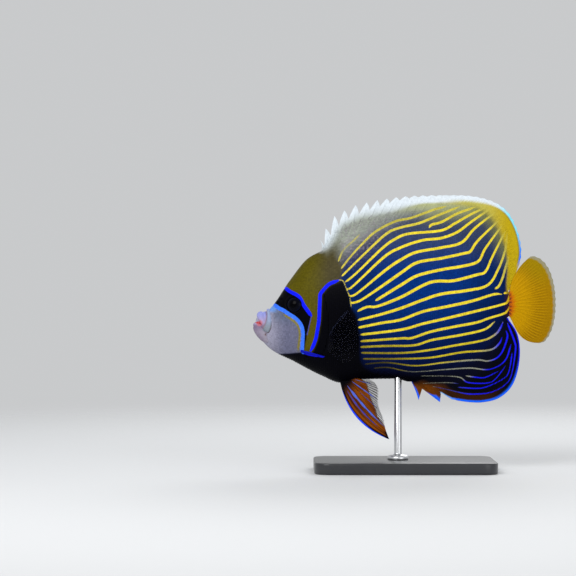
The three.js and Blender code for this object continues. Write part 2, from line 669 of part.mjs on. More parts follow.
function standBase() {
  const { length, width, thick, corner, edge, cornerSteps } = STAND;
  const [x, y, r] = [length / 2 - edge, width / 2 - edge, corner - edge];
  const shape = new THREE.Shape();
  shape.moveTo(-x + r, -y);
  shape.lineTo(x - r, -y);
  shape.absarc(x - r, -y + r, r, -Math.PI / 2, 0);
  shape.absarc(x - r, y - r, r, 0, Math.PI / 2);
  shape.absarc(-x + r, y - r, r, Math.PI / 2, Math.PI);
  shape.absarc(-x + r, -y + r, r, Math.PI, 1.5 * Math.PI);
  const bevel = { bevelEnabled: true, bevelThickness: edge, bevelSize: edge, bevelSegments: 2 };
  const geometry = new THREE.ExtrudeGeometry(shape, {
    depth: thick - 2 * edge, curveSegments: cornerSteps, ...bevel,
  });
  return solid(geometry.translate(0, 0, edge));
}

function standRod() {
  const { x, radius, foot, footHigh, footSide, footRound, neck, chamfer, socket, facets } = ROD;
  const low = STAND.thick + GAP;
  const high = bellyAt(x) + socket - GAP;
  const profile = [
    [0, low], [foot, low], [foot, low + footSide], [foot - footRound, low + footSide + footRound],
    [radius + neck, low + footHigh], [radius, low + footHigh + neck], [radius, high - chamfer],
    [radius - chamfer, high], [0, high],
  ].map(([r, z]) => new THREE.Vector2(r, z));
  const geometry = new THREE.LatheGeometry(profile, facets);
  geometry.rotateX(Math.PI / 2);
  return solid(geometry.translate(x, 0, 0));
}

const model = new THREE.Group();

function place(name, shape, colour, roughness, metalness = 0) {
  const geometry = shape instanceof THREE.BufferGeometry ? shape : geometryOf(shape);
  const material = new THREE.MeshStandardMaterial({ color: colour, roughness, metalness });
  const mesh = new THREE.Mesh(geometry, material);
  mesh.name = name;
  model.add(mesh);
}

place("head", head(), COLOURS.face, 0.45);
place("upper_jaw", upperJaw(), COLOURS.lips, 0.4);
place("lower_jaw", lowerJaw(), COLOURS.lips, 0.4);
place("torso", torso(), COLOURS.blue, 0.45);
place("tail_stalk", tailStalk(), COLOURS.blue, 0.45);
place("tail_fin", tailFin(), COLOURS.yellow, 0.5);
place("dorsal_fin_spiny", dorsalSpiny(), COLOURS.spines, 0.5);
place("dorsal_fin_soft", dorsalSoft(), COLOURS.yellow, 0.5);
place("anal_fin", analFin(), COLOURS.anal, 0.5);
for (const [end, side] of [["left", -1], ["right", 1]]) {
  place(`eye_${end}`, solid(eyeBall(side, 0)), COLOURS.eye, 0.1);
  place(`gill_cover_${end}`, gillCover(side), COLOURS.cover, 0.45);
  place(`pectoral_fin_${end}`, pectoralFin(side), COLOURS.clear, 0.4);
  place(`pelvic_fin_${end}`, pelvicFin(side), COLOURS.pelvic, 0.5);
}
place("stand_base", standBase(), COLOURS.base, 0.35);
place("stand_rod", standRod(), COLOURS.rod, 0.3, 0.9);

export default model;
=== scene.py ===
# %% [markdown]
# An adult emperor angelfish, as a museum makes one: a life-size painted cast on a plain stand.
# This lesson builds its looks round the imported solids. Every surface is worked out with numpy as
# a function of two parameters, in millimetres, and only turned into metres when it becomes a mesh.

import math

import bpy
import numpy as np
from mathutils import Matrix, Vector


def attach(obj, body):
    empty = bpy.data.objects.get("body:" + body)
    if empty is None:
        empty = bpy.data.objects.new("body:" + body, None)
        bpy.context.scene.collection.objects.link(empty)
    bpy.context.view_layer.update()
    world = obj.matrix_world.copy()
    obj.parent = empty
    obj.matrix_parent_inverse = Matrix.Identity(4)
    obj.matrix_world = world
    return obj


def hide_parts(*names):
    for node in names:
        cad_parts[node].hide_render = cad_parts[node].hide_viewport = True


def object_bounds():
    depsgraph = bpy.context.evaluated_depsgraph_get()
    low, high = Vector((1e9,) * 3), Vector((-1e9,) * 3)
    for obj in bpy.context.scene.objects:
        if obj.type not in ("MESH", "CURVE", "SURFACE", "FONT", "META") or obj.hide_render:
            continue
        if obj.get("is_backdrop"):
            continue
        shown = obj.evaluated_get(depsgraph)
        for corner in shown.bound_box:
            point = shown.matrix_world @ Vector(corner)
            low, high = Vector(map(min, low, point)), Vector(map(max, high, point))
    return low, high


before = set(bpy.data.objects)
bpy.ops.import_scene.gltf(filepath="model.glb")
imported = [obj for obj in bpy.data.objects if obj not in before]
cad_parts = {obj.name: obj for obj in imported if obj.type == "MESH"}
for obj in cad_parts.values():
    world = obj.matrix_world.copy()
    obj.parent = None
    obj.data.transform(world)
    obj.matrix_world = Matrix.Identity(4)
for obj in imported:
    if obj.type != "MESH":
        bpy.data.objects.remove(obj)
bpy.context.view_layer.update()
MM = 0.001
print("solids", sorted(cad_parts))

# %% [markdown]
# Two kinds of curve carry all the shapes. One is a height as a function of x, used for the back,
# the belly and the widths. The other is a path on the side view that is read by its own length,
# used for fin margins and for painted lines.


# %% Curves
def through(points):
    """A smooth function through (x, value) points. Between two points it is the cubic whose end
    slopes are the harmonic mean of the slopes on both sides, or 0 where they differ in sign."""
    x, value = np.array(points, float).T
    slope = np.diff(value) / np.diff(x)
    before, after = slope[:-1], slope[1:]
    same = before * after > 0
    inner = np.where(same, 2 * before * after / np.where(same, before + after, 1), 0)
    tangent = np.concatenate([slope[:1], inner, slope[-1:]])

    def at(query):
        query = np.asarray(query, float)
        i = np.clip(np.searchsorted(x, query, side="right") - 1, 0, len(x) - 2)
        wide = x[i + 1] - x[i]
        t = np.clip((query - x[i]) / wide, 0, 1)
        start = (2 * t**3 - 3 * t**2 + 1) * value[i] + (t**3 - 2 * t**2 + t) * wide * tangent[i]
        end = (3 * t**2 - 2 * t**3) * value[i + 1] + (t**3 - t**2) * wide * tangent[i + 1]
        return start + end

    return at


def spline(points, steps=12):
    """Points along the uniform Catmull-Rom curve: between b and c the cubic starts along c - a
    and ends along d - b, where a and d are the points before and after."""
    p = np.array(points, float)
    p = np.vstack([p[:1], p, p[-1:]])
    a, b, c, d = (q[:, None, :] for q in (p[:-3], p[1:-2], p[2:-1], p[3:]))
    t = np.linspace(0, 1, steps, endpoint=False)[None, :, None]
    bend = (2 * a - 5 * b + 4 * c - d) * t**2 + (3 * b - 3 * c + d - a) * t**3
    path = b + 0.5 * ((c - a) * t + bend)
    return np.vstack([path.reshape(-1, p.shape[1]), p[-1:]])


def curve_of(points, steps=40):
    """The same curve read by its own length: at(0) is its start and at(1) its end."""
    path = spline(points, steps)
    run = np.concatenate([[0], np.cumsum(np.linalg.norm(np.diff(path, axis=0), axis=1))])
    fraction = run / run[-1]

    def at(t):
        t = np.clip(t, 0, 1)
        return np.stack([np.interp(t, fraction, path[:, k]) for k in range(path.shape[1])], -1)

    return at


def ease(low, high, value):
    """0 below low, 1 above high, and 3t^2 - 2t^3 between."""
    t = np.clip((np.asarray(value, float) - low) / (high - low), 0, 1)
    return t * t * (3 - 2 * t)


def mix(a, b, amount):
    """a where amount is 0, b where it is 1."""
    return a + (b - a) * amount


def bell(value, width):
    """A hump that is 1 where value is 0: e^-(value / width)^2."""
    return np.exp(-((value / width) ** 2))


def unit(vectors):
    """Each vector divided by its own length."""
    return vectors / np.maximum(np.linalg.norm(vectors, axis=-1, keepdims=True), 1e-9)


def grid_of(first, second):
    """Two parameters over every pair of their values, the first one by rows."""
    return np.meshgrid(first, second, indexing="ij")


def full_turn(count):
    """Even angles round a circle, the last one a step before the first."""
    return np.linspace(0, 2 * np.pi, count, endpoint=False)


print("a curve through (0, 0), (1, 2), (3, 3) at 2:", through([(0, 0), (1, 2), (3, 3)])(2).round(3))


# %% [markdown]
# The body is deep and flat, as a coral fish's is. Its side outline is two curves, and each upright
# section is a lens whose half thickness depends on how far up the section a point lies. The same
# formula gives the solids, so whatever is built on it sits where the solids are.

# %% The body's form
BACK_LINE = [
    (-157.5, 160.5), (-149.4, 167.2), (-143.5, 168.8), (-136.8, 176), (-120, 201), (-101, 223.8),
    (-88.5, 230.5), (-57, 248.9), (-15, 258.3), (27, 257.2), (62.7, 243.1), (90, 216.3), (110, 188),
]
BELLY_LINE = [
    (-157.5, 152), (-153, 141.4), (-138.8, 126.6), (-117.9, 116), (-88.5, 100.8), (-66.4, 92.6),
    (-41.2, 96.3), (-9.7, 96.8), (5, 93.8), (42.8, 106.1), (76.4, 128.1), (99.5, 153.3),
    (110, 162.6),
]
HALF_WIDTH = [
    (-158, 4.4), (-150, 8), (-140, 12.5), (-125, 18.5), (-105, 24), (-80, 27.2), (-45, 26.8),
    (0, 22.8), (50, 15.5), (85, 9), (110, 4.8),
]
UPPER_EDGE = [(-158, 0.7), (-100, 0.9), (-84, 2.6), (-50, 4), (20, 4.6), (80, 3.4), (110, 2)]
LOWER_EDGE = [(-158, 0.7), (-5, 0.9), (12, 3), (40, 4.2), (80, 3.4), (110, 2)]
UPPER_FALL = [(-158, 0.5), (-110, 0.5), (-60, 0.82), (110, 0.8)]
LOWER_FALL = [(-158, 0.5), (-60, 0.52), (-5, 0.6), (30, 0.82), (110, 0.8)]
ROOT_X = 110

back_at, belly_at, width_at = through(BACK_LINE), through(BELLY_LINE), through(HALF_WIDTH)
upper_edge_at, lower_edge_at = through(UPPER_EDGE), through(LOWER_EDGE)
upper_fall_at, lower_fall_at = through(UPPER_FALL), through(LOWER_FALL)


def half_at_level(x, n):
    """Half thickness at x and level n, from -1 at the belly line to 1 at the back line:
    edge + (width - edge) * (1 - n^2)^fall, with edge and fall those of the nearer edge."""
    edge = np.where(n > 0, upper_edge_at(x), lower_edge_at(x))
    fall = np.where(n > 0, upper_fall_at(x), lower_fall_at(x))
    return edge + (width_at(x) - edge) * np.maximum(0, 1 - n * n) ** fall


def level_of(x, z):
    """The level n of a height z at x."""
    low, high = belly_at(x), back_at(x)
    return np.clip((2 * z - low - high) / (high - low), -1, 1)


def height_of(x, n):
    """The height z at a level n, at x."""
    low, high = belly_at(x), back_at(x)
    return (low + high + n * (high - low)) / 2


def half_at(x, z):
    """Half thickness at (x, z) of the side view."""
    return half_at_level(x, level_of(x, z))


def skin_normal(x, z, side):
    """Outward direction of the skin: (-dy/dx, side, -dy/dz), made one long."""
    step = 0.5
    slope_x = (half_at(x + step, z) - half_at(x - step, z)) / (2 * step)
    slope_z = (half_at(x, z + step) - half_at(x, z - step)) / (2 * step)
    return unit(np.stack(np.broadcast_arrays(-slope_x, side, -slope_z), -1))


print("widest half in mm", round(float(half_at_level(-80.0, 0.0)), 1))

# %% [markdown]
# Every piece becomes a mesh in the same way: rows of points in millimetres and arrays of corner
# numbers. A piece rides on the one body, replaces the solids that it stands for, and takes the
# finish it is given.


# %% Making a piece
def ring_quads(rings, around):
    """Four-cornered faces that join each ring of points to the next one."""
    i, j = grid_of(np.arange(rings - 1), np.arange(around))
    a, b = i * around + j, i * around + (j + 1) % around
    return np.stack([a, b, b + around, a + around], -1).reshape(-1, 4)


def fan(ring, middle):
    """Triangles from each edge of a closed ring to one middle point."""
    return np.stack([ring, np.roll(ring, -1), np.full(len(ring), middle)], -1)


def triangles_of(faces):
    """Each face as triangles that share its first corner."""
    parts = [f[:, [0, k, k + 1]] for f in faces for k in range(1, f.shape[1] - 1)]
    return np.concatenate(parts)


def turned_out(points, faces):
    """The faces as they are, or all reversed if the closed surface's volume came out negative."""
    a, b, c = (points[triangles_of(faces)[:, k]] for k in range(3))
    volume = np.einsum("ij,ij->", a, np.cross(b, c))
    return [f[:, ::-1] for f in faces] if volume < 0 else faces


def put_attribute(mesh, name, values):
    """One value for each point: a number, or a colour of three numbers."""
    values = np.asarray(values, float)
    kind = "FLOAT_COLOR" if values.ndim == 2 else "FLOAT"
    attribute = mesh.attributes.new(name, kind, "POINT")
    if values.ndim == 2:
        values = np.hstack([values, np.ones((len(values), 1))])
        attribute.data.foreach_set("color", values.astype(np.float32).ravel())
    else:
        attribute.data.foreach_set("value", values.astype(np.float32))


def placed(name, data):
    """An object of a mesh, lamp or camera, linked to the scene."""
    made = bpy.data.objects.new(name, data)
    bpy.context.scene.collection.objects.link(made)
    return made


def mesh_of(name, points, faces):
    """A mesh from points in mm and a list of corner arrays."""
    mesh = bpy.data.meshes.new(name)
    mesh.from_pydata((points * MM).tolist(), [], [row for f in faces for row in f.tolist()])
    return mesh


def make_piece(name, points, faces, material, nodes=(), paint=None):
    """A closed surface as a piece, with its finish and marks, tied to the frame."""
    mesh = mesh_of(name, points, turned_out(points, faces))
    mesh.shade_smooth()
    mesh.materials.append(material)
    for key, values in (paint or {}).items():
        put_attribute(mesh, key, values)
    piece = placed(name, mesh)
    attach(piece, "root")
    if nodes:
        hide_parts(*nodes)
    print(f"{name}: {len(mesh.polygons)} faces")
    return piece


SIDES = (("left", -1), ("right", 1))
print("two rings of 6 are joined by", len(ring_quads(2, 6)), "faces")


# %% [markdown]
# An emperor angelfish is told by its paint: yellow lines on blue, a black mask edged in bright
# blue, and a black shoulder. A modelmaker sprays the soft grounds first and draws the crisp lines
# over them. Here the ground is a colour, and each line is a signed distance in mm, positive inside
# the line, so that a material can draw its edge sharply however far apart the points of a mesh are.
# Both are worked out once on a lattice over the side view, and the skin, most fins and the scales
# read it.

# %% Paints
def paint(red, green, blue):
    """A paint given as it looks on a screen, 0 to 255, turned into linear light."""
    c = np.array([red, green, blue], float) / 255
    return np.where(c <= 0.04045, c / 12.92, ((c + 0.055) / 1.055) ** 2.4)


DEEP_BLUE, DUSK_BLUE, NAVY = paint(1, 46, 118), paint(0, 32, 84), paint(0, 17, 64)
BLACK, INK, SLATE = paint(2, 2, 7), paint(4, 5, 24), paint(62, 71, 92)
VIOLET_GREY, LILAC, HAZE_OLIVE = paint(70, 64, 86), paint(142, 134, 142), paint(118, 118, 62)
YELLOW, LOW_YELLOW, FADED = paint(236, 214, 50), paint(206, 186, 36), paint(136, 138, 122)
LINE_BLUE, DIM_BLUE, LINE_DARK = paint(22, 24, 228), paint(58, 62, 128), paint(16, 18, 26)
SHOULDER_LINE, OLIVE_LINE = paint(204, 188, 70), paint(180, 172, 84)
ROYAL, AZURE, SKY = paint(14, 28, 250), paint(62, 122, 255), paint(150, 205, 255)
OLIVE, UMBER = paint(88, 80, 12), paint(74, 67, 40)
FACE_GREY, FACE_PALE, FACE_WARM = paint(108, 109, 134), paint(158, 156, 176), paint(110, 108, 110)
FACE_BLUE, BROW_BLUE = paint(84, 98, 122), paint(108, 160, 236)
FACE_LINE, MASK_LINE = paint(132, 122, 66), paint(70, 72, 160)
PALE_GREY, PALE_OLIVE, WHITE = paint(158, 164, 152), paint(188, 190, 108), paint(218, 227, 234)
# The second is the dark olive of the painted shadow inside the back fin's fringe.
FIN_YELLOW, RIM_SHADOW_OLIVE = paint(186, 160, 14), paint(74, 74, 22)
CYAN, MARGIN_BLUE, EDGE_BLUE = paint(128, 226, 252), paint(30, 116, 248), paint(26, 100, 255)
BROWN, RUST, FLAME, PLUM = (
    paint(52, 25, 4), paint(106, 54, 5), paint(196, 84, 4), paint(54, 22, 34),
)
AMBER, AMBER_DARK = paint(188, 141, 1), paint(174, 130, 1)

LATTICE_STEP = 0.5
LATTICE_LOW, LATTICE_HIGH = (-166, 26), (166, 296)
side_x, side_z = grid_of(*(
    np.arange(low, high + LATTICE_STEP, LATTICE_STEP)
    for low, high in zip(LATTICE_LOW, LATTICE_HIGH)
))


def nearest(path, x, z):
    """The distance from each (x, z) to a path of straight steps, and how far along the path the
    nearest point lies, from 0 to 1: the least over its steps of the distance to each."""
    steps = np.diff(path, axis=0)
    lengths = np.hypot(*steps.T)
    run = np.concatenate([[0], np.cumsum(lengths)])
    best, along = np.full(x.shape, 1e9), np.zeros(x.shape)
    for start, step, length, before in zip(path, steps, lengths, run):
        square = max(length**2, 1e-12)
        t = np.clip(((x - start[0]) * step[0] + (z - start[1]) * step[1]) / square, 0, 1)
        away = np.hypot(x - start[0] - t * step[0], z - start[1] - t * step[1])
        closer = away < best
        best = np.where(closer, away, best)
        along = np.where(closer, before + t * length, along)
    return best, along / run[-1]


def inside(outline, x, z):
    """Signed distance to a closed outline, positive inside, where a level ray to the right
    crosses the outline an odd number of times."""
    path = np.vstack([outline, outline[:1]])
    away, _ = nearest(path, x, z)
    odd = np.zeros(x.shape, bool)
    for (x0, z0), (x1, z1) in zip(path[:-1], path[1:]):
        if z0 != z1:
            crosses = (z0 > z) != (z1 > z)
            odd ^= crosses & (x < x0 + (z - z0) * (x1 - x0) / (z1 - z0))
    return np.where(odd, away, -away)


def over(ground, colour, amount):
    """The ground with a colour laid over it by an amount from 0 to 1 at each place."""
    return mix(ground, colour, amount[..., None])


def lay(ground, coats):
    """The ground with several coats of (colour, amount), laid one after the other."""
    for colour, amount in coats:
        ground = over(ground, colour, amount)
    return ground


def read(field, x, z):
    """A lattice field at any (x, z), mixed from the four lattice points round it."""
    i = np.clip((x - LATTICE_LOW[0]) / LATTICE_STEP, 0, field.shape[0] - 1.001)
    j = np.clip((z - LATTICE_LOW[1]) / LATTICE_STEP, 0, field.shape[1] - 1.001)
    i0, j0 = i.astype(int), j.astype(int)
    s, t = i - i0, j - j0
    if field.ndim == 3:
        s, t = s[..., None], t[..., None]
    low = mix(field[i0, j0], field[i0 + 1, j0], s)
    high = mix(field[i0, j0 + 1], field[i0 + 1, j0 + 1], s)
    return mix(low, high, t)


print("lattice", side_x.shape)

# %% [markdown]
# The yellow lines run from the black shoulder to the tail, rise to the rear of the back fin, and
# below they turn blue and sweep round the anal fin. Each is a handful of places on the side view,
# in mm, joined by one smooth curve.

# %% The lines on the flank
FLANK_LINES = [
    [(-69.6, 219.5), (-65.4, 230), (-60.1, 236.2), (-53.8, 241.5), (-46.5, 248.9)],
    [(-66.9, 212.1), (-57, 224.7), (-46.5, 236.2), (-30.7, 251), (-9.7, 262), (7.1, 265.7),
     (30.2, 274.1), (38.6, 276.4)],
    [(-66.4, 204.2), (-41.2, 228.9), (-19.2, 248.9), (-4.5, 255.4), (16.1, 260.4), (37.9, 269.5),
     (52.8, 275.5)],
    [(25.9, 255.2), (28.7, 258.6), (39, 261.4), (55.1, 270.1), (69.9, 275.5)],
    [(-62.2, 198.5), (-50.7, 207.9), (-24.4, 233.1), (-9.7, 243.6), (4.7, 249), (37.9, 252.3),
     (52.8, 259.8), (68.7, 268.9), (82.5, 275.5)],
    [(-60.1, 191.1), (-53.8, 194.8), (-22.3, 224.2), (-4.5, 234.4), (18.4, 242), (37.9, 244.3),
     (55.1, 250.6), (69.9, 261.4), (85.8, 272.4)],
    [(-58, 184.3), (-50.7, 186.4), (-20.2, 211.1), (-4.5, 221.6), (11.3, 229.4), (37.5, 234.2),
     (59.6, 239.7), (73.2, 254.1), (91.6, 268.8)],
    [(-57, 176.4), (-48.6, 178.5), (-34.9, 186.9), (-4.5, 207.9), (12.3, 218.6), (37.5, 223.1),
     (61.7, 228.3), (69, 230.6), (76.8, 241.5), (95.7, 259.8)],
    [(-31.2, 179), (-4.5, 195.3), (12.3, 204.9), (37.5, 211.2), (61.7, 215.2), (77.4, 220.3),
     (84.8, 233.4), (99.5, 253.5)],
    [(-50, 168), (-40.2, 172.5), (-29.1, 173.2), (-4.5, 182.7), (26, 198), (50.1, 199.7),
     (75.3, 206), (84.8, 209.5), (92.8, 225.8), (103.7, 247.2)],
    [(-49.2, 158.9), (-25.5, 164.8), (-4.5, 171.2), (16.5, 179.1), (37.5, 185.8), (63.8, 189.4),
     (86.9, 195.1), (98.4, 211.7), (105.8, 231.2), (107.5, 244.7)],
    [(94.6, 191.1), (99.1, 194.6), (103.1, 202.7), (105.4, 210.5), (110, 225.4)],
    [(-49.2, 150.9), (-25.5, 155.7), (-4.5, 159.2), (18.6, 167.7), (43.8, 172.8), (70.1, 178.5),
     (92.8, 185.4), (102, 185.6)],
    [(104.9, 186.8), (106.5, 187)],
    [(-46.8, 143.6), (-4.5, 148.8), (18.6, 155), (41.3, 160.1), (86.9, 170.9), (104.6, 175.6),
     (107.8, 177.6), (109, 180.6), (109.4, 184.8)],
    [(-46.8, 136.8), (-4.5, 139.7), (7.1, 140.1), (26, 146.4), (50.1, 151.5), (75.3, 156.1),
     (86.9, 160.1), (103, 164.9), (106.8, 167),
     (108.9, 170), (109.6, 173)],
    [(-46.8, 130.7), (-21.3, 131.8), (9.2, 132.4), (27.6, 137.8), (55.1, 142.4), (78, 147),
     (86.9, 150.4), (94.6, 157.2)],
    [(-46, 124.7), (-4.5, 124.4), (23.9, 127.1), (52.8, 132.1), (78, 136.3), (89.4, 139.7),
     (98.4, 146.4), (103.7, 156.7)],
    [(-44.4, 118.3), (-4.5, 118.3), (27.6, 119.5), (59.6, 124.8), (89.4, 127.1), (99.5, 133.8),
     (102.6, 140.7)],
    [(-42.3, 112.7), (-18.6, 114.3), (11.3, 110.9), (41.3, 114.1), (75.3, 116.7), (86.9, 115.5),
     (96.3, 118.3), (103.1, 125.8), (108.2, 140.7), (106.7, 147.5)],
    [(-33.1, 108.3), (-17.1, 109.1), (7.1, 104.6), (41.3, 106.6), (68.7, 108.2), (89.4, 106.7),
     (105.4, 115.5), (112.1, 133.3)],
    [(16.1, 100.1), (55.1, 99.1), (66.5, 93.1), (86.9, 92.4), (96.3, 97.1), (106.5, 110.9)],
    [(64.2, 100.1), (75.3, 98.5), (84.8, 98.3), (99.5, 105.2)],
    [(18.4, 92), (43.6, 92.9), (57.3, 91.7)],
    [(56.2, 88), (75.3, 86.8), (86.9, 88.6), (104.2, 97.1), (110, 105.2), (113.3, 124.6)],
    [(28.7, 89.1), (41.3, 86.6), (63.8, 81.4), (78, 81), (89.4, 82.3), (100.5, 86.8),
     (108.9, 93.8), (113.3, 104.1), (116.8, 127.1), (115.7, 136.1), (108.2, 155.5)],
]
# Width of a line at a height z, in mm.
line_width_at = through([(80, 1.3), (108, 1.4), (120, 1.9), (150, 2.6), (195, 3.0), (270, 2.5)])
# Where, at a height z, a line starts to lose its yellow, and where it has become blue.
fading_at = through([(84, -30), (100, -25), (108, 8), (114, 42), (120, 70), (130, 82), (146, 90)])
turning_at = through([(84, 12), (90, 40), (96, 64), (107, 84), (117, 92), (131, 96), (158, 99)])
# How far the low lines sink into the dark at their front ends.
dimming_at = through([
    (100, 0.9), (113, 0.94), (121, 0.64), (127, 0.56), (135, 0.28), (146, 0), (160, 0),
])
# Below this height the lines lose their yellow, dim in front and turn blue.
LOWEST_YELLOW_END = 157
# A line thins to END_SHARE of its width over these distances at its ends, or over TAPER_SHARE
# of its length if that is less. FRONT_SHARE and the like thin it over whole parts of the flank.
LINE_START, LINE_END, TAPER_SHARE, END_SHARE = 2.6, 7.5, 0.3, 0.25
FRONT_SHARE, REAR_SHARE, NAPE_SHARE = 0.5, 0.8, 0.66
# Lines that end behind and above this place run on by LINE_REACH into the rear lobe.
LOBE_FROM, LINE_REACH = (30, 238), 5.5
# The line distance where no line is near.
FAR = -6.0
NEAR_MARGIN = 5

line = np.full(side_x.shape, FAR)
for places in FLANK_LINES:
    places = np.array(places, float)
    last = places[-1] - places[-2]
    if places[-1, 0] > LOBE_FROM[0] and places[-1, 1] > LOBE_FROM[1]:
        places = np.vstack([places, places[-1] + LINE_REACH * last / np.hypot(*last)])
    path = spline(places, 6)
    low, high = path.min(0) - NEAR_MARGIN, path.max(0) + NEAR_MARGIN
    near = (side_x > low[0]) & (side_x < high[0])
    near &= (side_z > low[1]) & (side_z < high[1])
    x, z = side_x[near], side_z[near]
    away, along = nearest(path, x, z)
    length = np.hypot(*np.diff(path, axis=0).T).sum()
    starting = ease(-1, min(LINE_START, TAPER_SHARE * length), along * length)
    ending = ease(-2, min(LINE_END, TAPER_SHARE * length), (1 - along) * length)
    thick = line_width_at(z) / 2 * mix(END_SHARE, 1, np.minimum(starting, ending))
    for share, part in (
        (FRONT_SHARE, ease(70, 40, x) * ease(112, 100, z)),
        (REAR_SHARE, ease(62, 98, x)),
        (NAPE_SHARE, ease(-8, -62, x) * ease(140, 190, z)),
    ):
        thick = thick * mix(1, share, part)
    line[near] = np.maximum(line[near], thick - away)
print("flank lines", len(FLANK_LINES))

# %% [markdown]
# Along its way a line changes colour. The lower ones fade to grey green and then turn blue on the
# anal fin, the lowest are dark in front, and the ones on the stalk are amber.

# %% The colour of the lines
below = ease(LOWEST_YELLOW_END + 3, LOWEST_YELLOW_END - 3, side_z)
fading = ease(-8, 14, side_x - fading_at(side_z)) * below
turned = ease(-5, 5, side_x - turning_at(side_z)) * below
dim = dimming_at(side_z) * ease(35, -25, side_x) * below
on_stalk = ease(160, 165, side_z) * ease(193, 187, side_z)
on_stalk = ease(103.5, 109, side_x) * on_stalk
in_front = ease(75, 45, side_x) * ease(104, 96, side_z)
tint = lay(LOW_YELLOW, [
    (YELLOW, ease(118, 158, side_z)),
    (FADED, fading), (LINE_DARK, dim), (AMBER, 0.8 * on_stalk),
    (over(LINE_BLUE, DIM_BLUE, in_front), turned),
])
print("share of the flank with blue lines", round(float((turned > 0.5).mean()), 3))

# %% [markdown]
# The head is a pale grey face, then a black mask over the eye, an olive strip that widens into the
# nape, and the black shoulder. Bright blue bands part them. The bands are drawn as lines along the
# same places that bound the grounds.

# %% The grounds of the head and shoulder
FACE_BAND = [
    (-137.4, 176), (-132.6, 171.7), (-126.3, 168.5), (-121, 164.8), (-115.8, 161.7),
    (-111.6, 158), (-108.4, 153.3), (-106.8, 147), (-106.8, 139.7), (-107.4, 127.1),
    (-106.4, 124.2),
]
UPPER_BAND = [
    (-125.8, 193), (-120, 188.5), (-113.7, 185.3), (-109.5, 181.7), (-106.3, 175.3),
    (-102.1, 169.1), (-97.9, 163.3),
]
MASK_REAR = [(-97.9, 163.3), (-98.9, 158), (-100.3, 152), (-102.3, 142.8), (-105.3, 127.5)]
GILL_BAND = [
    (-69.6, 200), (-78, 196.9), (-82.2, 193.7), (-85.3, 190.1), (-88.5, 185.8), (-89, 179.6),
    (-89.5, 169.1), (-90, 158.6), (-91.6, 148.1), (-93.2, 139.7), (-95.8, 132.3), (-98.6, 126.6),
]
CHEEK_LINE = [(-108.5, 126), (-104.2, 124), (-96.9, 122), (-84.3, 120.4)]
INNER_LINE = [
    (-126.3, 164.4), (-119, 160), (-113.6, 155.6), (-110.6, 150.2), (-109.6, 142.8),
    (-110.4, 135.5), (-111.4, 127.6),
]
FACE_BOTTOM = [
    (-107, 125), (-113.7, 124.7), (-120.3, 123.8), (-126.3, 123.6), (-131, 122.8), (-139, 118),
]
SHOULDER_EDGE = [
    (-72.7, 199.3), (-67.5, 200.6), (-64.3, 198.5), (-61.2, 191.1), (-58, 182.7), (-57, 176.4),
]
BLACK_REAR = [
    (-57, 176.4), (-55.9, 171.2), (-51.7, 164.8), (-49.6, 158.6), (-48.6, 150.2), (-47, 137.6),
    (-46.8, 121.8), (-44.4, 112.4), (-38.1, 106.1), (-25.5, 101.9), (6, 97.7),
]
PALE_EDGE = [
    (-80, 216), (-57, 237.3), (-36, 253.1), (-15, 263.6), (6, 271.9), (27, 277.2), (48, 281.4),
]
YELLOW_EDGE = [
    (37.5, 284.6), (58.5, 281.4), (74.3, 279.3), (87.9, 271.9), (97.4, 259.4), (103.7, 244.7),
    (107.5, 230), (108.5, 211.1), (107.5, 196.3), (108, 187),
]


def joined(*parts):
    """Several stretches of places as one outline."""
    return np.array([place for part in parts for place in part], float)


def region(*parts):
    """Signed distance over the lattice to an outline given in stretches."""
    return inside(joined(*parts), side_x, side_z)


# Single places without a name close an outline outside the fish or under another ground.
face_path, upper_path, gill_path = (spline(band, 5) for band in (FACE_BAND, UPPER_BAND, GILL_BAND))
mask_path, black_path = spline(MASK_REAR, 4), spline(BLACK_REAR, 4)
face_region = region([(-175, 122), (-175, 200), (-150, 190)], face_path, FACE_BOTTOM)
mask_region = region([(-150, 192), (-140, 206)], upper_path, mask_path, face_path[::-1])
olive_region = region(
    [(-140, 206)], upper_path, mask_path, gill_path[::-1], [(-66, 212), (-70, 240), (-140, 265)],
)
shoulder_region = region(
    SHOULDER_EDGE, black_path, [(6, 60), (-175, 60), (-175, 118)], FACE_BOTTOM[::-1],
    [(-104, 124.5)], gill_path[::-1],
)
pale_region = region(PALE_EDGE, [(60, 284), (60, 300), (-120, 300), (-110, 232)])
yellow_region = region(spline(YELLOW_EDGE, 5), [(120, 187), (150, 240), (120, 300), (36, 300)])
print("regions", [round(float(r.max()), 1) for r in (face_region, mask_region, olive_region)])

# %% [markdown]
# The fin margins are painted too. Distances to each margin give the pale fringe of the back fin,
# its cyan and blue rear edge, the blue edge of the anal fin and the brown band above that.

# %% The fins' outlines
SOFT_DORSAL_BASE = (18.6, 109)
SOFT_DORSAL_MARGIN = [
    (40.5, 289.8), (69, 289), (92.1, 283.6), (107.9, 273), (117.6, 256), (122.4, 238),
    (122.2, 222), (116.3, 206), (112.7, 198), (110.3, 191.2),
]
SOFT_DORSAL_RAYS = 20
SPINE_COUNT = 14
SPINY_BASE = (-87.5, 14)
SPINE_STEP = 9.7
SPINY_TIPS = np.array([
    (-88.9, 243.2), (-82.6, 254.6), (-73.3, 267.9), (-62.9, 273.8), (-51.1, 279.3), (-39.4, 282),
    (-28.3, 284.4), (-18.2, 286.1), (-8.6, 287.5), (1.2, 288.5), (10.5, 289.1), (19.5, 289.5),
    (28.5, 289.7), (37.4, 289.9),
])
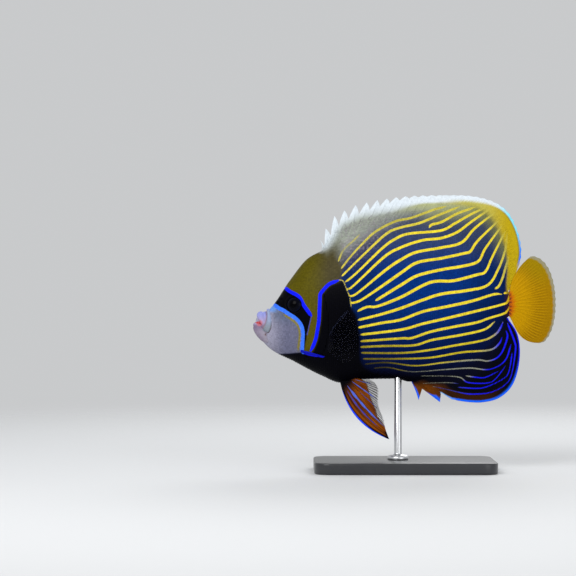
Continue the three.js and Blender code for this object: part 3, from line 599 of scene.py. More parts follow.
# The web between spines i and i + 1 is cut by shallow + deep / (1 + e^((i + 0.5 - turn) / spread))
# mm. The deepest place lies start + step i of the way to the next spine, for i up to last.
SPINY_NOTCHES = {"shallow": 1.4, "deep": 12.8, "turn": 7.0, "spread": 1.5}
NOTCH_PLACE = {"start": 0.36, "step": 0.055, "last": 5}
ANAL_BASE = (6, 107.6)
ANAL_SPINES = [
    {"root": 0.012, "tip": (15, 74.5), "web": (18.8, 86.4)},
    {"root": 0.075, "tip": (37.5, 72.3), "web": (38.6, 82.2)},
    {"root": 0.145, "tip": (50, 75.2), "web": (52.8, 74.9)},
]
ANAL_SOFT_START = 0.19
ANAL_MARGIN = [
    (56, 73.9), (68, 72.3), (82, 72.1), (98.4, 76.1), (111.6, 87.2), (118.9, 104), (121.5, 126),
    (118.4, 145), (108.7, 160.2),
]
ANAL_RAYS = 20
# The blue edge of the first anal spine starts above its tip, and that of the second part of the
# way from the web before it.
FIRST_EDGE_START = [(7.6, 93), (11.2, 84)]
SECOND_EDGE_START = 0.35

spine_numbers = np.arange(SPINE_COUNT, dtype=float)


def spine_tip(i):
    """Tip of the back fin's spine number i, read from the table between whole numbers too."""
    return np.stack([np.interp(i, spine_numbers, column) for column in SPINY_TIPS.T], -1)


def from_path(path):
    """The distance over the lattice to a path, and the share of it that is passed there."""
    return nearest(path, side_x, side_z)


spine_tips = [np.array(spine["tip"], float) for spine in ANAL_SPINES]
webs = [np.array(spine["web"], float) for spine in ANAL_SPINES]
zigzag = [place for pair in zip(spine_tips, webs) for place in pair]
crest_away = from_path(spline(joined(spine_tip(spine_numbers), SOFT_DORSAL_MARGIN), 4))[0]
dorsal_away, dorsal_along = from_path(spline(SOFT_DORSAL_MARGIN, 8))
anal_away = from_path(joined(zigzag, spline(ANAL_MARGIN, 8)))[0]
first_away, first_along = from_path(joined(FIRST_EDGE_START, spine_tips[:1]))
second_start = mix(webs[0], spine_tips[1], SECOND_EDGE_START)
second_away, second_along = from_path(np.array([second_start, spine_tips[1]]))
third_away, third_along = from_path(joined([webs[1], spine_tips[2], webs[2]], ANAL_MARGIN[:1]))
margin_away, margin_along = from_path(spline(ANAL_MARGIN, 8))
print("widest distance to the back fin's margin", round(float(dorsal_away.max())), "mm")

# %% [markdown]
# The grounds go on from the widest to the smallest, each with its own soft edge. First comes the
# flank: deep blue, duskier towards head and tail, slate above and nearly black below.

# %% The blue flank
height = side_z
# The height at which the dark of the underside and the anal fin is full, at each x.
dark_height_at = through([
    (-60, 106), (-30, 103), (0, 100), (40, 101), (70, 110), (90, 126), (105, 152), (112, 168),
])
above_dark = height - dark_height_at(side_x)
towards_ends = np.maximum(ease(-14, -44, side_x), ease(52, 84, side_x))
ground = lay(np.broadcast_to(DEEP_BLUE, side_x.shape + (3,)), [
    (DUSK_BLUE, 0.75 * towards_ends),
    (NAVY, ease(86, 14, above_dark)),
    (SLATE, 0.85 * ease(205, 262, height)),
    (INK, 0.95 * ease(20, -2, above_dark)),
    (BLACK, 0.85 * ease(-4, -20, above_dark) * (side_x > 40)),
    (PLUM, 0.9 * on_stalk),
])
print("flank, mean colour", ground.mean((0, 1)).round(3))

# %% [markdown]
# Behind the nape a violet haze veils the blue. Above it the crest turns pale, and the rear of the
# back fin yellow. The haze and the yellow have wide soft edges, as if sprayed.

# %% The haze, the pale crest and the yellow rear
haze = ease(1, 36, height - mix(203, 246, ease(-62, 2, side_x)))
haze = haze * ease(50, -30, side_x) * ease(-72, -64, side_x)
rear_haze = ease(254, 281, height - 0.05 * (side_x - 40)) * ease(0, 40, side_x)
veil = ease(-17, -2, yellow_region) * ease(205, 240, height)
veil = veil * ease(58, 84, side_x)
yellow_soft = mix(2.0, 5.0, ease(222, 262, height))
yellow = ease(-yellow_soft, 0.6 * yellow_soft, yellow_region)
ground = lay(ground, [
    (VIOLET_GREY, 0.85 * haze),
    (PALE_OLIVE, 0.7 * rear_haze),
    (PALE_GREY, 0.95 * ease(-13, 9, pale_region)),
    (PALE_OLIVE, 0.75 * ease(-6, 8, pale_region) * ease(-20, 35, side_x)),
    (HAZE_OLIVE, 0.72 * veil),
    (FIN_YELLOW, 0.97 * yellow),
    (PALE_OLIVE, 0.65 * yellow * ease(112, 72, side_x)),
])
print("share in the haze", round(float((haze > 0.5).mean()), 3))

# %% [markdown]
# The spiny front of the back fin is white out to its tips. Behind it the rim is a pale fringe
# with a ragged inner edge. It narrows, turns cyan and then blue, and has a thin painted shadow
# inside.

# %% The rim of the back fin
BLUE_EDGE_END = 218
crest_white = ease(mix(18, 9.5, ease(-20, 25, side_x)), 6, crest_away)
crest_white = crest_white * ease(66, 24, side_x) * (height > 228)
slant = side_x - 0.9 * (side_z - 280)
feather = 0.6 * np.sin(slant * 1.9) + 0.5 * np.sin(slant * 3.1 + 1) * np.sin(slant * 0.37)
fringe = mix(5.6 + 0.8 * feather, 1.9, ease(0.15, 0.6, dorsal_along))
softness = mix(2.1, 0.6, ease(0.2, 0.5, dorsal_along))
fringe_colour = lay(WHITE, [
    (CYAN, ease(0.34, 0.5, dorsal_along)),
    (MARGIN_BLUE, ease(0.56, 0.78, dorsal_along)),
])
on_margin = ease(BLUE_EDGE_END - 6, BLUE_EDGE_END + 6, height)
on_margin = on_margin * ease(20, 40, side_x)
# A thin painted shadow, dark olive, just inside the fringe.
rim_shadow = bell(dorsal_away - fringe - 0.7, 0.5) * ease(0.36, 0.5, dorsal_along)
ground = lay(ground, [
    (WHITE, crest_white),
    (RIM_SHADOW_OLIVE, 0.75 * rim_shadow * on_margin),
    (fringe_colour, ease(fringe + softness, fringe - softness, dorsal_away) * on_margin),
])
print("fringe from", fringe.min().round(2), "to", fringe.max().round(2), "mm wide")

# %% [markdown]
# The belly is black. The anal fin is brown along its rim and rust between its spines, and bright
# blue edges its spines and its margin.

# %% The grounds of the anal fin
belly_dark = ease(108, 96, height) * ease(-60, -20, side_x)
brown = ease(11, 6, anal_away) * ease(108, 84, side_x) * (height < 120)
rust = ease(48, 24, side_x) * ease(94.5, 87, height)
margin_colour = over(EDGE_BLUE, LINE_BLUE, ease(0.42, 0.7, margin_along))
ground = lay(ground, [
    (BLACK, 0.9 * belly_dark * ease(70, 20, side_x)),
    (BROWN, 0.95 * brown * (side_x > 0)),
    (RUST, rust * (side_x > 5)),
])
for away, width, colour in (
    (first_away, mix(0.6, 2.3, ease(0.05, 0.5, first_along)), EDGE_BLUE),
    (second_away, mix(0.6, 3.2, ease(0, 0.6, second_along)), EDGE_BLUE),
    (third_away, mix(0.8, 1.8, ease(0.2, 0.8, third_along)), over(SKY, EDGE_BLUE, third_along)),
    (margin_away, mix(2.2, 1.2, ease(0.35, 0.8, margin_along)), margin_colour),
):
    edge = ease(width + 0.35, width - 0.35, away)
    ground = over(ground, colour, edge * (side_x > 5))
print("share in brown", round(float((brown > 0.5).mean()), 3))

# %% [markdown]
# On the head the grounds have crisp edges, which the bands will cover: the black shoulder, the
# nape that goes from olive to umber and fades upwards, the black mask, and a face that is paler
# towards the mouth, warmer behind and blue at the brow.

# %% The grounds of the head
nape_fade = ease(210, 226, height)
nape = ease(-4 - 7 * nape_fade, 1 + 8 * nape_fade, olive_region)
nape_pale = ease(4, 20, pale_region) * ease(-96, -72, side_x)
above_back = ease(-9, 2, height - back_at(side_x))
upper_face = ease(150, 164, height) * ease(-141, -134, side_x)
brow = ease(-131, -138, side_x) * ease(165, 170, height)
face = lay(FACE_GREY, [
    (FACE_PALE, ease(-122, -146, side_x)),
    (FACE_WARM, 0.6 * ease(-116, -110, side_x) * ease(152, 130, height)),
    (FACE_BLUE, 0.6 * upper_face),
    (BROW_BLUE, 0.9 * brow),
])
ground = lay(ground, [
    (BLACK, ease(-2.6, 2.0, shoulder_region)),
    (over(OLIVE, UMBER, ease(-100, -76, side_x)), nape),
    (PALE_GREY, 0.85 * nape_pale),
    (WHITE, crest_white * above_back * ease(-92, -88, side_x)),
    (BLACK, ease(-0.5, 0.5, mask_region)),
    (face, ease(-0.5, 0.5, face_region)),
])
print("face, mean colour", face[face_region > 0].mean(0).round(3))

# %% [markdown]
# Where the ground is pale or yellow the yellow lines pale with it, and near the crest and the
# yellow rear they sink into it.

# %% How the lines fade into the ground
paling = np.maximum(ease(-28, 2, pale_region), ease(-15, 0, yellow_region))
paling = np.maximum(paling, 0.8 * rear_haze) * (height > 190)
vanishing = 0.75 * ease(-3, 8, pale_region) + 0.6 * ease(-4, 3, yellow_region)
vanishing = np.clip(vanishing + 0.5 * ease(-50, -68, side_x) * haze, 0, 0.95)
tint = lay(tint, [(OLIVE_LINE, 0.85 * paling), (ground, vanishing * (height > 186))])
print("share where lines pale", round(float((paling > 0.5).mean()), 3))

# %% [markdown]
# The head's bands are wider than the flank's lines and keep one width, apart from the two thin
# ones: the lavender line behind the mask and the olive one inside the face's blue band.

# %% The bands of the head
HEAD_LINES = [
    (INNER_LINE, 2.7, FACE_LINE), (MASK_REAR[:4], 1.1, MASK_LINE),
    (FACE_BAND, 3.9, AZURE), (UPPER_BAND, 3.7, ROYAL), (GILL_BAND, 3.6, ROYAL),
    (CHEEK_LINE, 1.8, LINE_BLUE), (joined([(-55.8, 171)], SHOULDER_EDGE[::-1]), 1.1, SHOULDER_LINE),
]
for places, width, colour in HEAD_LINES:
    away, along = from_path(spline(places, 5))
    drawn = width / 2 * mix(0.5, 1, ease(0, 0.06, np.minimum(along, 1 - along))) - away
    wins = drawn > line
    line = np.where(wins, drawn, line)
    tint = np.where(wins[..., None], colour, tint)
print("head lines", len(HEAD_LINES))

# %% [markdown]
# One material recipe serves all the painted skin: it mixes the ground and the line colours where
# the line distance passes zero, adds a fine mottling and a fine grain, and keeps a satin varnish.
# The fins that are partly clear read one more attribute for that.


# %% The skin's finish
def node(tree, kind, **values):
    """A shader node with its settings, and its inputs by name."""
    made = tree.nodes.new(kind)
    for key, value in values.items():
        if key in made.inputs:
            made.inputs[key].default_value = value
        else:
            setattr(made, key, value)
    return made


def attribute(tree, name, output="Fac"):
    """One of the piece's marks as a shader socket."""
    return node(tree, "ShaderNodeAttribute", attribute_name=name).outputs[output]


def feed(tree, sockets, values):
    """Each value into its socket: a link if it is a socket, else a plain number or colour."""
    for socket, value in zip(sockets, values):
        if isinstance(value, bpy.types.NodeSocket):
            tree.links.new(value, socket)
        else:
            socket.default_value = value


def maths(tree, operation, a, b):
    """A sum, difference, product or the like of two sockets or numbers."""
    made = node(tree, "ShaderNodeMath", operation=operation)
    feed(tree, made.inputs, (a, b))
    return made.outputs[0]


def mixed(tree, factor, a, b, blend="MIX"):
    """Two colours mixed by a factor."""
    made = node(tree, "ShaderNodeMix", data_type="RGBA", blend_type=blend)
    feed(tree, (made.inputs[0], made.inputs[6], made.inputs[7]), (factor, a, b))
    return made.outputs[2]


def shaded(tree, colour, grey):
    """A colour times a grey."""
    combine = node(tree, "ShaderNodeCombineColor")
    feed(tree, combine.inputs, [grey] * 3)
    return mixed(tree, 1.0, colour, combine.outputs[0], "MULTIPLY")


def ranged(tree, value, source=(0.0, 1.0), target=(0.0, 1.0), kind="SMOOTHSTEP"):
    """A value carried from one range over to another."""
    made = node(tree, "ShaderNodeMapRange", interpolation_type=kind)
    names = ("Value", "From Min", "From Max", "To Min", "To Max")
    feed(tree, [made.inputs[name] for name in names], (value, *source, *target))
    return made.outputs[0]


def noise(tree, scale, detail=2.0):
    """A noise on the object's own place, scale being cells in a metre."""
    made = node(tree, "ShaderNodeTexNoise", Scale=scale, Detail=detail)
    tree.links.new(node(tree, "ShaderNodeTexCoord").outputs["Object"], made.inputs["Vector"])
    return made.outputs[0]


def new_material(name, roughness, specular=0.5, coat=0.0, metallic=0.0):
    """A material with its varnish set on the shader itself. Returns it, its tree and its shader."""
    material = bpy.data.materials.new(name)
    material.use_nodes = True
    tree = material.node_tree
    shader = tree.nodes["Principled BSDF"]
    shader.inputs["Roughness"].default_value = roughness
    shader.inputs["Specular IOR Level"].default_value = specular
    shader.inputs["Coat Weight"].default_value = coat
    shader.inputs["Coat Roughness"].default_value = 0.25
    shader.inputs["Metallic"].default_value = metallic
    return material, tree, shader


def grain(tree, shader, height, depth):
    """A fine bump, depth in metres, from a height between 0 and 1."""
    bump = node(tree, "ShaderNodeBump", Distance=depth, Strength=1.0)
    tree.links.new(height, bump.inputs["Height"])
    tree.links.new(bump.outputs[0], shader.inputs["Normal"])


# A line's edge is this soft, in mm, and wanders by up to a quarter of a mm.
EDGE_SOFT, WANDER, WANDER_CELLS = 0.24, 0.5, 800
MOTTLE, MOTTLE_CELLS = 0.16, 420


def painted(name, roughness, grain_scale=1400, grain_depth=0.00006, clear=False):
    """Ground and line colour by the sign of the line distance, times a mottling near 1."""
    material, tree, shader = new_material(name, roughness, specular=0.035)
    wander = maths(tree, "SUBTRACT", noise(tree, WANDER_CELLS), 0.5)
    wander = maths(tree, "MULTIPLY", wander, WANDER)
    distance = maths(tree, "ADD", attribute(tree, "Line"), wander)
    drawn = mixed(tree, ranged(tree, distance, (-EDGE_SOFT, EDGE_SOFT)),
                  attribute(tree, "Ground", "Color"), attribute(tree, "LineTint", "Color"))
    speckle = maths(tree, "SUBTRACT", noise(tree, MOTTLE_CELLS, 4.0), 0.5)
    speckle = maths(tree, "MULTIPLY", speckle, 2 * MOTTLE)
    shade = maths(tree, "ADD", attribute(tree, "Tone"), speckle)
    tree.links.new(shaded(tree, drawn, shade), shader.inputs["Base Color"])
    grain(tree, shader, noise(tree, grain_scale, 3.0), grain_depth)
    if clear:
        tree.links.new(attribute(tree, "Solid"), shader.inputs["Alpha"])
    return material


skin_finish = painted("painted_skin", 0.46)
scale_finish = painted("painted_scales", 0.4, grain_depth=0.00003)
fin_finish = painted("painted_fin", 0.5, grain_scale=1800, grain_depth=0.00005)
clear_finish = painted("painted_clear_fin", 0.45, grain_scale=1800, grain_depth=0.00004, clear=True)
print("skin finishes", [m.name for m in (skin_finish, scale_finish, fin_finish, clear_finish)])

# %% [markdown]
# A piece's marks are what that material reads at each of its points.


# %% Marks for a piece
def marks(points):
    """What each point of a body or fin piece is painted, read from the lattice by its x and z."""
    x, z = points[..., 0].ravel(), points[..., 2].ravel()
    return {
        "Ground": read(ground, x, z), "Line": read(line, x, z), "LineTint": read(tint, x, z),
        "Tone": np.ones(x.size),
    }


print("flank's ground at x 0, z 170:", marks(np.array([[0.0, 0.0, 170.0]]))["Ground"].round(3))

# %% [markdown]
# The skin is one closed surface from the snout to the tail, as a real fish's is, so no seam shows
# where the solids part. Its sections are the body's own, a little smaller by the scales' depth.
# Relief along the skin's normal makes the eye's socket and rim, and sinks the skin under the jaws
# and the gill covers, which are pieces of their own.

# %% The skin
SCALE_DEPTH = 0.42
EYE = {"x": -115.8, "z": 174.8, "radius": 10.5, "proud": 3.3}
# The skin rises in a ring round the eye and falls away inside it.
EYE_RING = {"at": 9.0, "wide": 1.3, "high": 0.75, "deep": 3.4, "inside": (8.3, 5.8)}
JAW_SINK, COVER_SINK = 1.3, 1.1
UPPER_JAW = [
    (-170, 160.2), (-155, 158.6), (-151, 155.2), (-149, 148), (-146.1, 143.9), (-142.2, 145.3),
    (-139.9, 150.2), (-141.6, 157), (-142.6, 163), (-143.2, 169), (-144, 178), (-170, 178),
]
LOWER_JAW = [
    (-170, 157.6), (-156.4, 156.6), (-152.4, 153.2), (-149.8, 147), (-147.2, 142.4),
    (-148.6, 134), (-170, 134),
]
GILL_LINE = [
    (-129.4, 123.6), (-106.3, 121.6), (-91.5, 120.4), (-84.2, 127.1), (-81, 139.7), (-80, 156.5),
    (-82, 174.3), (-86.4, 190.1), (-89.5, 209), (-90.5, 230),
]
COVER_FRONT = [
    (-108, 118), (-105.2, 132.3), (-102.3, 146), (-98.6, 162.8), (-96.9, 174.3), (-94, 184),
    (-86, 193),
]
SKIN_HEAD_STATIONS, SKIN_REAR_STATIONS, SKIN_LEVELS, SKIN_CAP = 105, 165, 140, 5
HEAD_END_X = -82

jaw_inside = np.maximum(region(UPPER_JAW), region(LOWER_JAW))
snout_inside = np.maximum(jaw_inside, ease(-149.5, -151, side_x) * 3 - 1)
cover_inside = region(
    spline(COVER_FRONT, 5), spline([g for g in GILL_LINE if g[0] > -95 and g[1] < 196], 5)[::-1],
)
from_eye = np.hypot(side_x - EYE["x"], side_z - EYE["z"])
relief = EYE_RING["high"] * bell(from_eye - EYE_RING["at"], EYE_RING["wide"])
relief = relief - EYE_RING["deep"] * ease(*EYE_RING["inside"], from_eye)
relief = relief - JAW_SINK * ease(-0.6, 0.9, snout_inside)
relief = relief - COVER_SINK * ease(-0.2, 1.4, cover_inside)


def body_rings(stations, grow, bumps):
    """Closed sections of the body. Each runs up the left side, across the back, down the right
    side and across the belly. The level is n = sin(pi s / 2), s going evenly from -1 to 1, and
    bumps is a lattice field of mm added along the skin's normal."""
    n = np.sin(np.pi / 2 * np.linspace(-1, 1, SKIN_LEVELS))[None, :]
    x = np.broadcast_to(stations[:, None], (len(stations), SKIN_LEVELS))
    z = height_of(x, n)
    half = half_at_level(x, np.broadcast_to(n, x.shape))
    normal = skin_normal(x, z, 1)
    side = np.stack([x, half, z], -1) + normal * (grow + read(bumps, x, z))[..., None]
    side[..., 1] = np.maximum(side[..., 1], 0.25)
    side[..., 2] += grow * np.sign(n) * np.abs(n) ** 12 * (1 - np.abs(normal[..., 2]))
    left = side * np.array([1, -1, 1])
    across = np.linspace(-1, 1, SKIN_CAP + 2)[1:-1]

    def cap(column, outward):
        edge = side[:, column]
        y = across[None, :] * edge[:, 1:2]
        crown = outward * 0.28 * np.minimum(edge[:, 1:2], 1.4) * (1 - across[None, :] ** 2)
        return np.stack([np.broadcast_to(edge[:, :1], y.shape), y, edge[:, 2:3] + crown], -1)

    return np.concatenate([left, cap(-1, 1), side[:, ::-1], cap(0, -1)[:, ::-1]], axis=1)


def lofted(rings):
    """A closed surface through rings of points, with a fan over each end."""
    count, around = rings.shape[:2]
    ends = rings[[0, -1]].mean(axis=1)
    points = np.concatenate([rings.reshape(-1, 3), ends])
    first, last = np.arange(around), (count - 1) * around + np.arange(around)
    faces = [ring_quads(count, around), fan(first, count * around)[:, ::-1],
             fan(last, count * around + 1)]
    return points, faces


skin_stations = np.concatenate([
    np.linspace(-156.5, HEAD_END_X, SKIN_HEAD_STATIONS, endpoint=False),
    np.linspace(HEAD_END_X, ROOT_X, SKIN_REAR_STATIONS),
])
skin_points, skin_faces = lofted(body_rings(skin_stations, -SCALE_DEPTH, relief))
make_piece(
    "skin", skin_points, skin_faces, skin_finish,
    nodes=("head", "torso", "tail_stalk"), paint=marks(skin_points),
)

# %% [markdown]
# A fin is a thin web held by rays. Each one is a grid whose columns run from the root to the
# margin and whose rows follow the margin. The half thickness falls from the body's edge to a thin
# web, and rises again in a ridge along every ray. Both faces and the rim make one closed plate.


# %% Fin tools
WEB_HALF = 0.24
RIM_HALF = 0.1
RAY_RISE = 0.42
SPINE_RISE = 0.85
SIDEWAYS = np.array([0.0, 1.0, 0.0])


def root_line(line_at, span):
    """The back or belly line over a span of x, read by its own length."""
    x = np.linspace(span[0], span[1], 49)
    return curve_of(np.stack([x, line_at(x)], -1), steps=4)


def along_rays(root, tip, v, bulge, late=1.0):
    """Points root + (tip - root) v + 4 bulge w (1 - w) aside, aside being square to the ray in
    the side plane and w = v^late. root and tip are (columns, 2), v is (rows,), and bulge and
    late are one number for each column."""
    ray = (tip - root)[:, None, :]
    aside = unit(np.stack([-ray[..., 1], ray[..., 0]], -1))
    w = np.maximum(v, 0)[None, :] ** np.broadcast_to(late, bulge.shape)[:, None]
    bow = 4 * (bulge[:, None] * w * (1 - w))[..., None]
    flat = root[:, None, :] + ray * v[None, :, None] + aside * bow
    return np.stack([flat[..., 0], np.zeros(flat.shape[:2]), flat[..., 1]], -1)


def fall_off(root_half, v, power):
    """Half thickness of a web: the root's own at v = 0, down to WEB_HALF as (1 - v)^power, and
    on to RIM_HALF over the last tenth."""
    v = np.clip(v, 0, 1)
    web = WEB_HALF + (root_half - WEB_HALF) * (1 - v) ** power
    return web - (WEB_HALF - RIM_HALF) * ease(0.9, 1, v)


def ray_height(v):
    """How high a ray stands along its length, 0 to 1: sin(pi (0.12 + 0.86 v))^0.7."""
    return np.sin(np.pi * np.clip(0.12 + 0.86 * v, 0, 1)) ** 0.7


def branching(u, v, count):
    """Height of the soft rays over the web, 0 to 1. A ray is sin^4 of its own phase, and in the
    outer half it parts into two, and again near the margin."""
    whole = np.sin(np.pi * count * u) ** 4
    split = np.sin(np.pi * (count * u * 2 + 0.5)) ** 4
    fine = np.sin(np.pi * (count * u * 4 + 0.5)) ** 4
    parted = mix(whole, split, ease(0.35, 0.6, v))
    return mix(parted, 0.7 * fine, ease(0.7, 0.9, v))


def soft_ridges(u, v, count):
    """Relief of the soft rays in mm, from about half way out."""
    rise = RAY_RISE * branching(u[:, None], v[None, :], count)
    return rise * ray_height(v) * ease(0.45, 0.8, v)


def plate(middle, half, across=SIDEWAYS):
    """A closed plate: the middle surface moved by its half thickness to each side, and a rim."""
    columns, rows = half.shape
    offset = half[..., None] * across
    points = np.concatenate([(middle - offset).reshape(-1, 3), (middle + offset).reshape(-1, 3)])
    index = np.arange(columns * rows).reshape(columns, rows)
    a, b, c, d = index[:-1, :-1], index[1:, :-1], index[1:, 1:], index[:-1, 1:]
    near = np.stack([a, b, c, d], -1).reshape(-1, 4)
    border = np.concatenate([index[:, 0], index[-1, 1:], index[-2::-1, -1], index[0, -2:0:-1]])
    after = np.roll(border, -1)
    size = columns * rows
    rim = np.stack([after, border, border + size, after + size], -1)
    return points, [near, near[:, ::-1] + size, rim]


print("web of a 3 mm root half way out:", round(float(fall_off(3.0, 0.5, 1.6)), 2), "mm to a side")

# %% [markdown]
# The back fin starts with fourteen strong spines. The web between the first ones is cut deep, so
# each stands as a white triangle. From the last spine on, soft rays carry the fin to its high rear
# lobe. It is all one web, so it is one piece.

# %% The back fin
# Places of the columns between two spines, closer together beside the spines.
SPINE_SPOTS = np.array([
    0, 0.03, 0.07, 0.12, 0.19, 0.28, 0.37, 0.46, 0.55, 0.63, 0.71, 0.79, 0.86, 0.92, 0.96,
])
SPINY_ROOT_SHIFT = 1.6
WEB_POWER = 1.6
COLUMNS_PER_RAY = 10
FIN_ROOT_DEPTH = 0.035


def fin_rows(count, depth=FIN_ROOT_DEPTH):
    """Places along the rays: one row inside the body, then even steps out to the margin."""
    return np.concatenate([[-depth], np.linspace(0, 1, count)])


def notched(tip, after, root, depth, place, t):
    """The margin between two spine tips: the straight line, less depth times a tooth. With s
    going from 0 at a tip to 1 at the deepest place, the tooth is 0.75 s + 0.25 s^3, so that each
    lobe is a leaf with nearly straight sides."""
    line_between = mix(tip, after, t[..., None])
    s = np.where(t < place, t / place, (1 - t) / (1 - place))
    tooth = 0.75 * s + 0.25 * s**3
    return line_between + unit(root - line_between) * (depth * tooth)[..., None]


spots = spine_numbers[:-1, None] + SPINE_SPOTS[None, :]
spiny_root_at = root_line(back_at, (SPINY_BASE[0], SOFT_DORSAL_BASE[0]))
root_span = SOFT_DORSAL_BASE[0] - SPINY_BASE[0]
first_place = SPINY_ROOT_SHIFT / root_span
last_place = (SPINY_BASE[1] - SPINY_BASE[0] + SPINY_ROOT_SHIFT) / root_span
spiny_root = spiny_root_at(mix(first_place, last_place, spots / (SPINE_COUNT - 1)))
depths = SPINY_NOTCHES["shallow"] + SPINY_NOTCHES["deep"] / (
    1 + np.exp((spine_numbers[:-1] + 0.5 - SPINY_NOTCHES["turn"]) / SPINY_NOTCHES["spread"])
)
notch_places = np.minimum(spine_numbers[:-1], NOTCH_PLACE["last"])
notch_places = NOTCH_PLACE["start"] + NOTCH_PLACE["step"] * notch_places
spiny_tip = notched(
    spine_tip(spine_numbers[:-1])[:, None], spine_tip(spine_numbers[1:])[:, None], spiny_root,
    depths[:, None] * np.ones_like(spots), notch_places[:, None],
    np.broadcast_to(SPINE_SPOTS, spots.shape),
)
soft_u = np.linspace(0, 1, SOFT_DORSAL_RAYS * COLUMNS_PER_RAY + 1)
soft_root = root_line(back_at, SOFT_DORSAL_BASE)(soft_u)
soft_tip = curve_of(SOFT_DORSAL_MARGIN)(soft_u)
scallop = 0.7 * np.cos(np.pi * SOFT_DORSAL_RAYS * soft_u) ** 2 * ease(0.9, 0.8, soft_u)
soft_tip = soft_tip + unit(soft_root - soft_tip) * scallop[:, None]

dorsal_root = np.concatenate([spiny_root.reshape(-1, 2), soft_root])
dorsal_tip = np.concatenate([spiny_tip.reshape(-1, 2), soft_tip])
spiny_columns = spots.size
soft_bulge = -(1 - soft_u**8) - np.sin(np.pi * soft_u)
dorsal_bulge = np.concatenate([np.full(spiny_columns, -1.0), soft_bulge])
dorsal_v = fin_rows(58)
dorsal_middle = along_rays(dorsal_root, dorsal_tip, dorsal_v, dorsal_bulge)
from_spine = np.minimum(spots % 1, 1 - spots % 1).ravel()[:, None] * SPINE_STEP
spine_radius = mix(1.25, 0.8, np.clip(dorsal_v, 0, 1))[None, :]
spine_ridge = SPINE_RISE * bell(from_spine, spine_radius) * ray_height(dorsal_v)
spine_ridge = spine_ridge * ease(-0.02, 0.06, dorsal_v)
spine_ridge = spine_ridge * mix(1, 0.4, ease(0.4, 0.9, dorsal_v))
soft_ridge = soft_ridges(soft_u, dorsal_v, SOFT_DORSAL_RAYS)
dorsal_edge = upper_edge_at(dorsal_root[:, 0])[:, None]
coat_share = SCALE_DEPTH * (1 - ease(0.55, 0.85, dorsal_v))
dorsal_half = fall_off(dorsal_edge, dorsal_v[None, :], WEB_POWER)
dorsal_half = dorsal_half - coat_share * (dorsal_edge > 1.2)
dorsal_half = np.maximum(dorsal_half, RIM_HALF) + np.concatenate([spine_ridge, soft_ridge])
dorsal_points, dorsal_faces = plate(dorsal_middle, dorsal_half)
make_piece(
    "dorsal_fin", dorsal_points, dorsal_faces, fin_finish,
    nodes=("dorsal_fin_spiny", "dorsal_fin_soft"), paint=marks(dorsal_points),
)

# %% [markdown]
# The anal fin is made the same way: three stout spines with webs behind them, then soft rays.

# %% The anal fin
ANAL_SPOTS = np.array([0, 0.04, 0.1, 0.18, 0.28, 0.4, 0.5, 0.6, 0.7, 0.8, 0.88, 0.94, 0.975])
anal_root_at = root_line(belly_at, ANAL_BASE)
spine_places = np.array([s["root"] for s in ANAL_SPINES] + [ANAL_SOFT_START])
anal_tips, anal_webs = joined(spine_tips, ANAL_MARGIN[:1]), joined(webs)
anal_spots = np.broadcast_to(ANAL_SPOTS, (len(ANAL_SPINES), len(ANAL_SPOTS)))
anal_spine_root = anal_root_at(mix(spine_places[:-1, None], spine_places[1:, None], anal_spots))
anal_spine_tip = np.where(
    (anal_spots < 0.5)[..., None],
    mix(anal_tips[:-1, None], anal_webs[:, None], (2 * anal_spots)[..., None]),
    mix(anal_webs[:, None], anal_tips[1:, None], (2 * anal_spots - 1)[..., None]),
)
anal_u = np.linspace(0, 1, ANAL_RAYS * COLUMNS_PER_RAY + 1)
anal_soft_root = anal_root_at(mix(ANAL_SOFT_START, 1, anal_u))
anal_soft_tip = curve_of(ANAL_MARGIN)(anal_u)
anal_root = np.concatenate([anal_spine_root.reshape(-1, 2), anal_soft_root])
anal_tip = np.concatenate([anal_spine_tip.reshape(-1, 2), anal_soft_tip])
anal_bulge = np.concatenate([np.full(anal_spots.size, 0.6), 0.6 + np.sin(np.pi * anal_u)])
anal_v = fin_rows(50)
anal_middle = along_rays(anal_root, anal_tip, anal_v, anal_bulge)
spine_gap = np.linalg.norm(np.diff(anal_tips, axis=0), axis=1)[:, None]
from_anal_spine = (np.minimum(anal_spots, 1 - anal_spots) * spine_gap).reshape(-1, 1)
anal_radius = mix(1.5, 0.6, np.clip(anal_v, 0, 1))[None, :]
anal_spine_ridge = SPINE_RISE * bell(from_anal_spine, anal_radius) * ray_height(anal_v)
anal_ridge = np.concatenate([anal_spine_ridge, soft_ridges(anal_u, anal_v, ANAL_RAYS)])
anal_root_half = lower_edge_at(anal_root[:, 0])[:, None]
anal_coat = SCALE_DEPTH * (1 - ease(0.5, 0.8, anal_v)) * ease(1.2, 2.4, anal_root_half)
anal_half = fall_off(anal_root_half, anal_v[None, :], WEB_POWER) - anal_coat
anal_half = np.maximum(anal_half, RIM_HALF) + anal_ridge * ease(-0.02, 0.05, anal_v)
anal_points, anal_faces = plate(anal_middle, anal_half)
make_piece(
    "anal_fin", anal_points, anal_faces, fin_finish, nodes=("anal_fin",),
    paint=marks(anal_points),
)

# %% [markdown]
# The tail fin is a rounded fan. Its seventeen rays leave the narrow stalk close together and part
# again and again, so that near the margin they are fine dark lines on amber.

# %% The tail fin
TAIL_MARGIN = [
    (133.1, 225.8), (139.8, 224.6), (147, 219.4), (153.4, 209.2), (157.8, 193.2), (159.1, 175),
    (157.7, 158.5), (153.6, 145), (146.8, 135.6), (138.3, 134.2),
]
TAIL_RAYS, TAIL_COLUMNS_PER_RAY = 17, 14
TAIL_SCALLOP, TAIL_RAY_RISE, TAIL_COAT = 0.012, 0.5, 0.3
